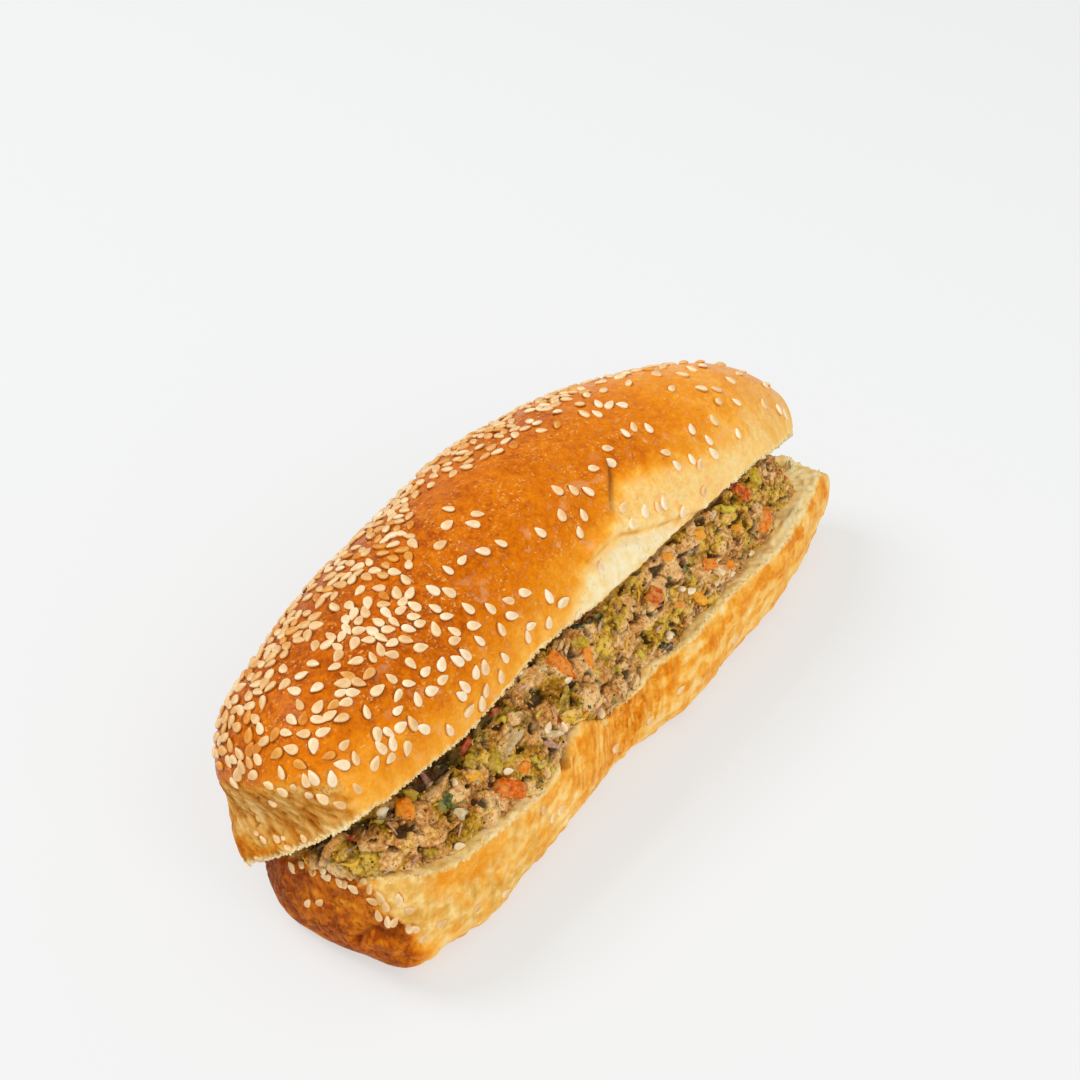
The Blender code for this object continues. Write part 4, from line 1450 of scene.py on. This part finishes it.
handPlaced = {
    "carrotBits": [
        (762, 519, 80, 0, 22, 17, 0.6, 0.45), (741, 492, 140, 0, 20, 13, 0.7, 0.12),
        (709, 564, 10, 1, 15, 12, 0.6, 0.5), (727, 564, 0, 1, 14, 11, 0.6, 0.6),
        (676, 606, 150, 1, 18, 12, 0.6, 0.55), (561, 667, -35, 2, 34, 24, 0.35, 0.42),
        (587, 656, 100, 0, 26, 10, 0.7, 0.62), (509, 788, 0, 0, 28, 19, 0.6, 0.3),
        (404, 811, 105, 0, 25, 19, 0.7, 0.6), (652, 597, 60, 1, 22, 17, 0.7, 0.2),
        (524, 767, 70, 1, 14, 11, 0.7, 0.5), (697, 597, 150, 0, 20, 9, 0.5, 0.85),
        (667, 557, 20, 1, 12, 9, 0.6, 0.75), (471, 780, 20, 0, 22, 15, 0.6, 0.97),
        (698, 535, 20, 1, 14, 12, 0.7, 0.9), (736, 528, 20, 1, 12, 8, 0.6, 0.8),
    ],
    "redPepperBits": [
        (494, 713, 60, 0, 13, 9, 0.6, 0.3), (733, 486, 0, 0, 9, 8, 0.6, 0.1),
        (353, 838, 0, 0, 8, 6, 0.8, 0.2), (558, 721, 60, 0, 7, 6, 0.6, 0.3),
        (464, 750, 60, 1, 24, 7, 0.4, 0.6), (458, 741, 110, 1, 16, 6, 0.4, 0.7),
    ],
    "greenBits": [
        (725, 511, 20, 1, 20, 15, 0.6, 0.97), (754, 476, 110, 0, 17, 11, 0.6, 0.75),
        (781, 460, 100, 1, 22, 14, 0.7, 0.35), (579, 642, 10, 0, 19, 12, 0.7, 0.62),
        (692, 560, 40, 1, 14, 11, 0.7, 0.35), (686, 577, 60, 1, 15, 12, 0.7, 0.2),
        (492, 757, 105, 0, 34, 15, 0.6, 0.62), (533, 757, 130, 2, 28, 18, 0.5, 0.85),
        (470, 762, 80, 0, 15, 12, 0.7, 0.5), (376, 820, 110, 1, 24, 16, 0.7, 0.45),
        (412, 796, 160, 1, 24, 13, 0.6, 0.75), (430, 852, 20, 1, 16, 12, 0.6, 0.5),
        (565, 703, 85, 2, 28, 16, 0.3, 0.3), (462, 835, 20, 3, 32, 6, 0.8, 0.5),
        (617, 619, 80, 0, 11, 8, 0.7, 0.5),
    ],
    "yellowShreds": [
        (353, 860, 40, 2, 22, 5, 0.7, 0.5), (349, 866, -20, 1, 16, 4, 0.7, 0.6),
        (700, 590, 30, 2, 20, 4, 0.7, 0.3),
    ],
    "paleBits": [
        (381, 813, 30, 0, 18, 12, 0.5, 0.98), (549, 734, 0, 1, 26, 7, 0.5, 0.75),
        (511, 744, 60, 1, 24, 8, 0.5, 0.35), (517, 738, 50, 1, 20, 6, 0.5, 0.5),
        (459, 815, 20, 0, 20, 15, 0.8, 0.8), (671, 634, 60, 0, 8, 8, 0.6, 0.6),
    ],
    "tunaFibres": [
        (430, 783, -48, 0, 32, 9, 0.5, 0.35), (351, 849, 25, 0, 16, 4, 0.6, 0.5),
        (549, 745, -10, 1, 24, 7, 0.5, 0.6),
    ],
    "tunaFlakes": [
        (485, 815, 50, 0, 36, 24, 0.5, 0.75), (388, 858, 10, 1, 34, 22, 0.5, 0.6),
        (337, 843, 50, 2, 28, 22, 0.6, 0.45), (433, 836, 20, 3, 26, 22, 0.6, 0.3),
        (407, 846, 60, 4, 22, 16, 0.6, 0.6), (512, 718, 20, 0, 22, 14, 0.6, 0.9),
    ],
    "herbFlecks": [
        (442, 767, 25, 1, 17, 8, 0.5, 0.02), (444, 801, 35, 0, 18, 15, 0.8, 0.5),
        (452, 806, 100, 0, 15, 11, 0.8, 0.75), (441, 808, 80, 0, 12, 9, 0.8, 0.9),
        (663, 646, 0, 1, 19, 12, 0.5, 0.05), (459, 803, 20, 2, 14, 9, 0.6, 0.6),
        (592, 622, 40, 2, 24, 10, 0.7, 0.0), (577, 628, 20, 1, 16, 8, 0.7, 0.0),
        (684, 571, 60, 1, 12, 8, 0.6, 0.1),
    ],
}

# The scattered flakes leave these spots free.
handSpots = [landing(coreTree, item[:2])[0] for items in handPlaced.values() for item in items]
handSpots = [place for place in handSpots if place is not None]

flakes = [modelLump(0.42, 1.3 + 2.1 * i) for i in range(6)]
grains = [modelLump(0.3, 4.7 + 1.9 * i, 1) for i in range(4)]
diced = [modelDice(1.0), modelDice(5.0), modelDice(9.0, 0.75)]
greens = [modelDice(2.0), modelLump(0.35, 7.7), modelDice(8.0, 0.6), modelShred(1.8)]
shreds = [modelShred(0.7), modelShred(-0.6), modelShred(1.8)]
filled = [
    ("tunaFlakes", flakes, "tunaFlakeFlesh", "tuna_salad"),
    ("mashGrains", grains, "tunaFlakeFlesh", "tuna_salad"),
    ("greenBits", greens, "greenPickle", "green_vegetable"),
    ("herbFlecks", [modelLump(0.3, 2.2), modelLeaf(1.3), modelLeaf(4.9)], "choppedHerb", "green_vegetable"),
    ("pepperSpecks", [modelLump(0.25, 1.0, 1)], "groundPepper", "green_vegetable"),
    ("yellowShreds", shreds, "yellowShred", "pale_vegetable"),
    ("carrotBits", diced, "cutCarrot", "carrot"),
    ("redPepperBits", [modelDice(3.0), modelDice(6.0)], "redPepper", "red_pepper"),
    ("paleBits", [modelLump(0.35, 3.9), modelDice(4.0)], "paleOnion", "pale_vegetable"),
    ("tunaFibres", [modelShred(0.35), modelShred(-0.3)], "tunaFibre", "tuna_salad"),
]
for name, templates, material, slot in filled:
    print(name + ":", scatterOnFilling(name, templates, bitMaterials[material], slot))


crumbLook = {
    "crownCount": 900,
    "heelCount": 400,
    "reach": 0.28,
    "crownClean": (-12, 38),  # the stretch along X where the crown's cut is smooth
}


def addEdgeCrumbs(name, border, tree, count, clean=(0, 0)):
    # ragged crumbs along the cut edge where it shows at the front and the ends
    places = [p for p in border if (p[1] < 4 or abs(p[0]) > 84) and not clean[0] < p[0] < clean[1]]
    laid = []
    for _ in range(count):
        p = dice.choice(places) + Vector([dice.gauss(0, crumbLook["reach"]) for _ in range(3)])
        place, normal, _, _ = tree.find_nearest(p * mm)
        size = dice.uniform(0.3, 0.75)
        turned, spot = restOn(place / mm, normal, anyHeading(normal),
                              (size, size * dice.uniform(0.6, 1), size * 0.7),
                              0.0, dice.gauss(0, 0.4), dice.gauss(0, 0.4))
        laid.append((dice.randrange(len(crumbs)), turned, spot, dice.random()))
    joinPieces(name, crumbs, laid, bitMaterials["breadCrumb"], "bread_crumb")


crumbs = [modelLump(0.35, 2.0 + i, 1) for i in range(3)]
addEdgeCrumbs("crownCrumbs", crownBorder, crownTree, crumbLook["crownCount"], crumbLook["crownClean"])
addEdgeCrumbs("heelCrumbs", heelBorder, heelTree, crumbLook["heelCount"])
print("crumbs are on the cut edges")


def stainCutFace(piece):
    # oil from the filling, soaked into the crumb beside it
    points = pointsOf(piece)
    near = distanceTo(coreTree, points)
    paint(piece, "stain", 0.75 * ease(4.5, 0.6, near) * ease(-0.4, 0.15, cloud(points, 5, 1.5)))


stainCutFace(crown)
stainCutFace(heel)
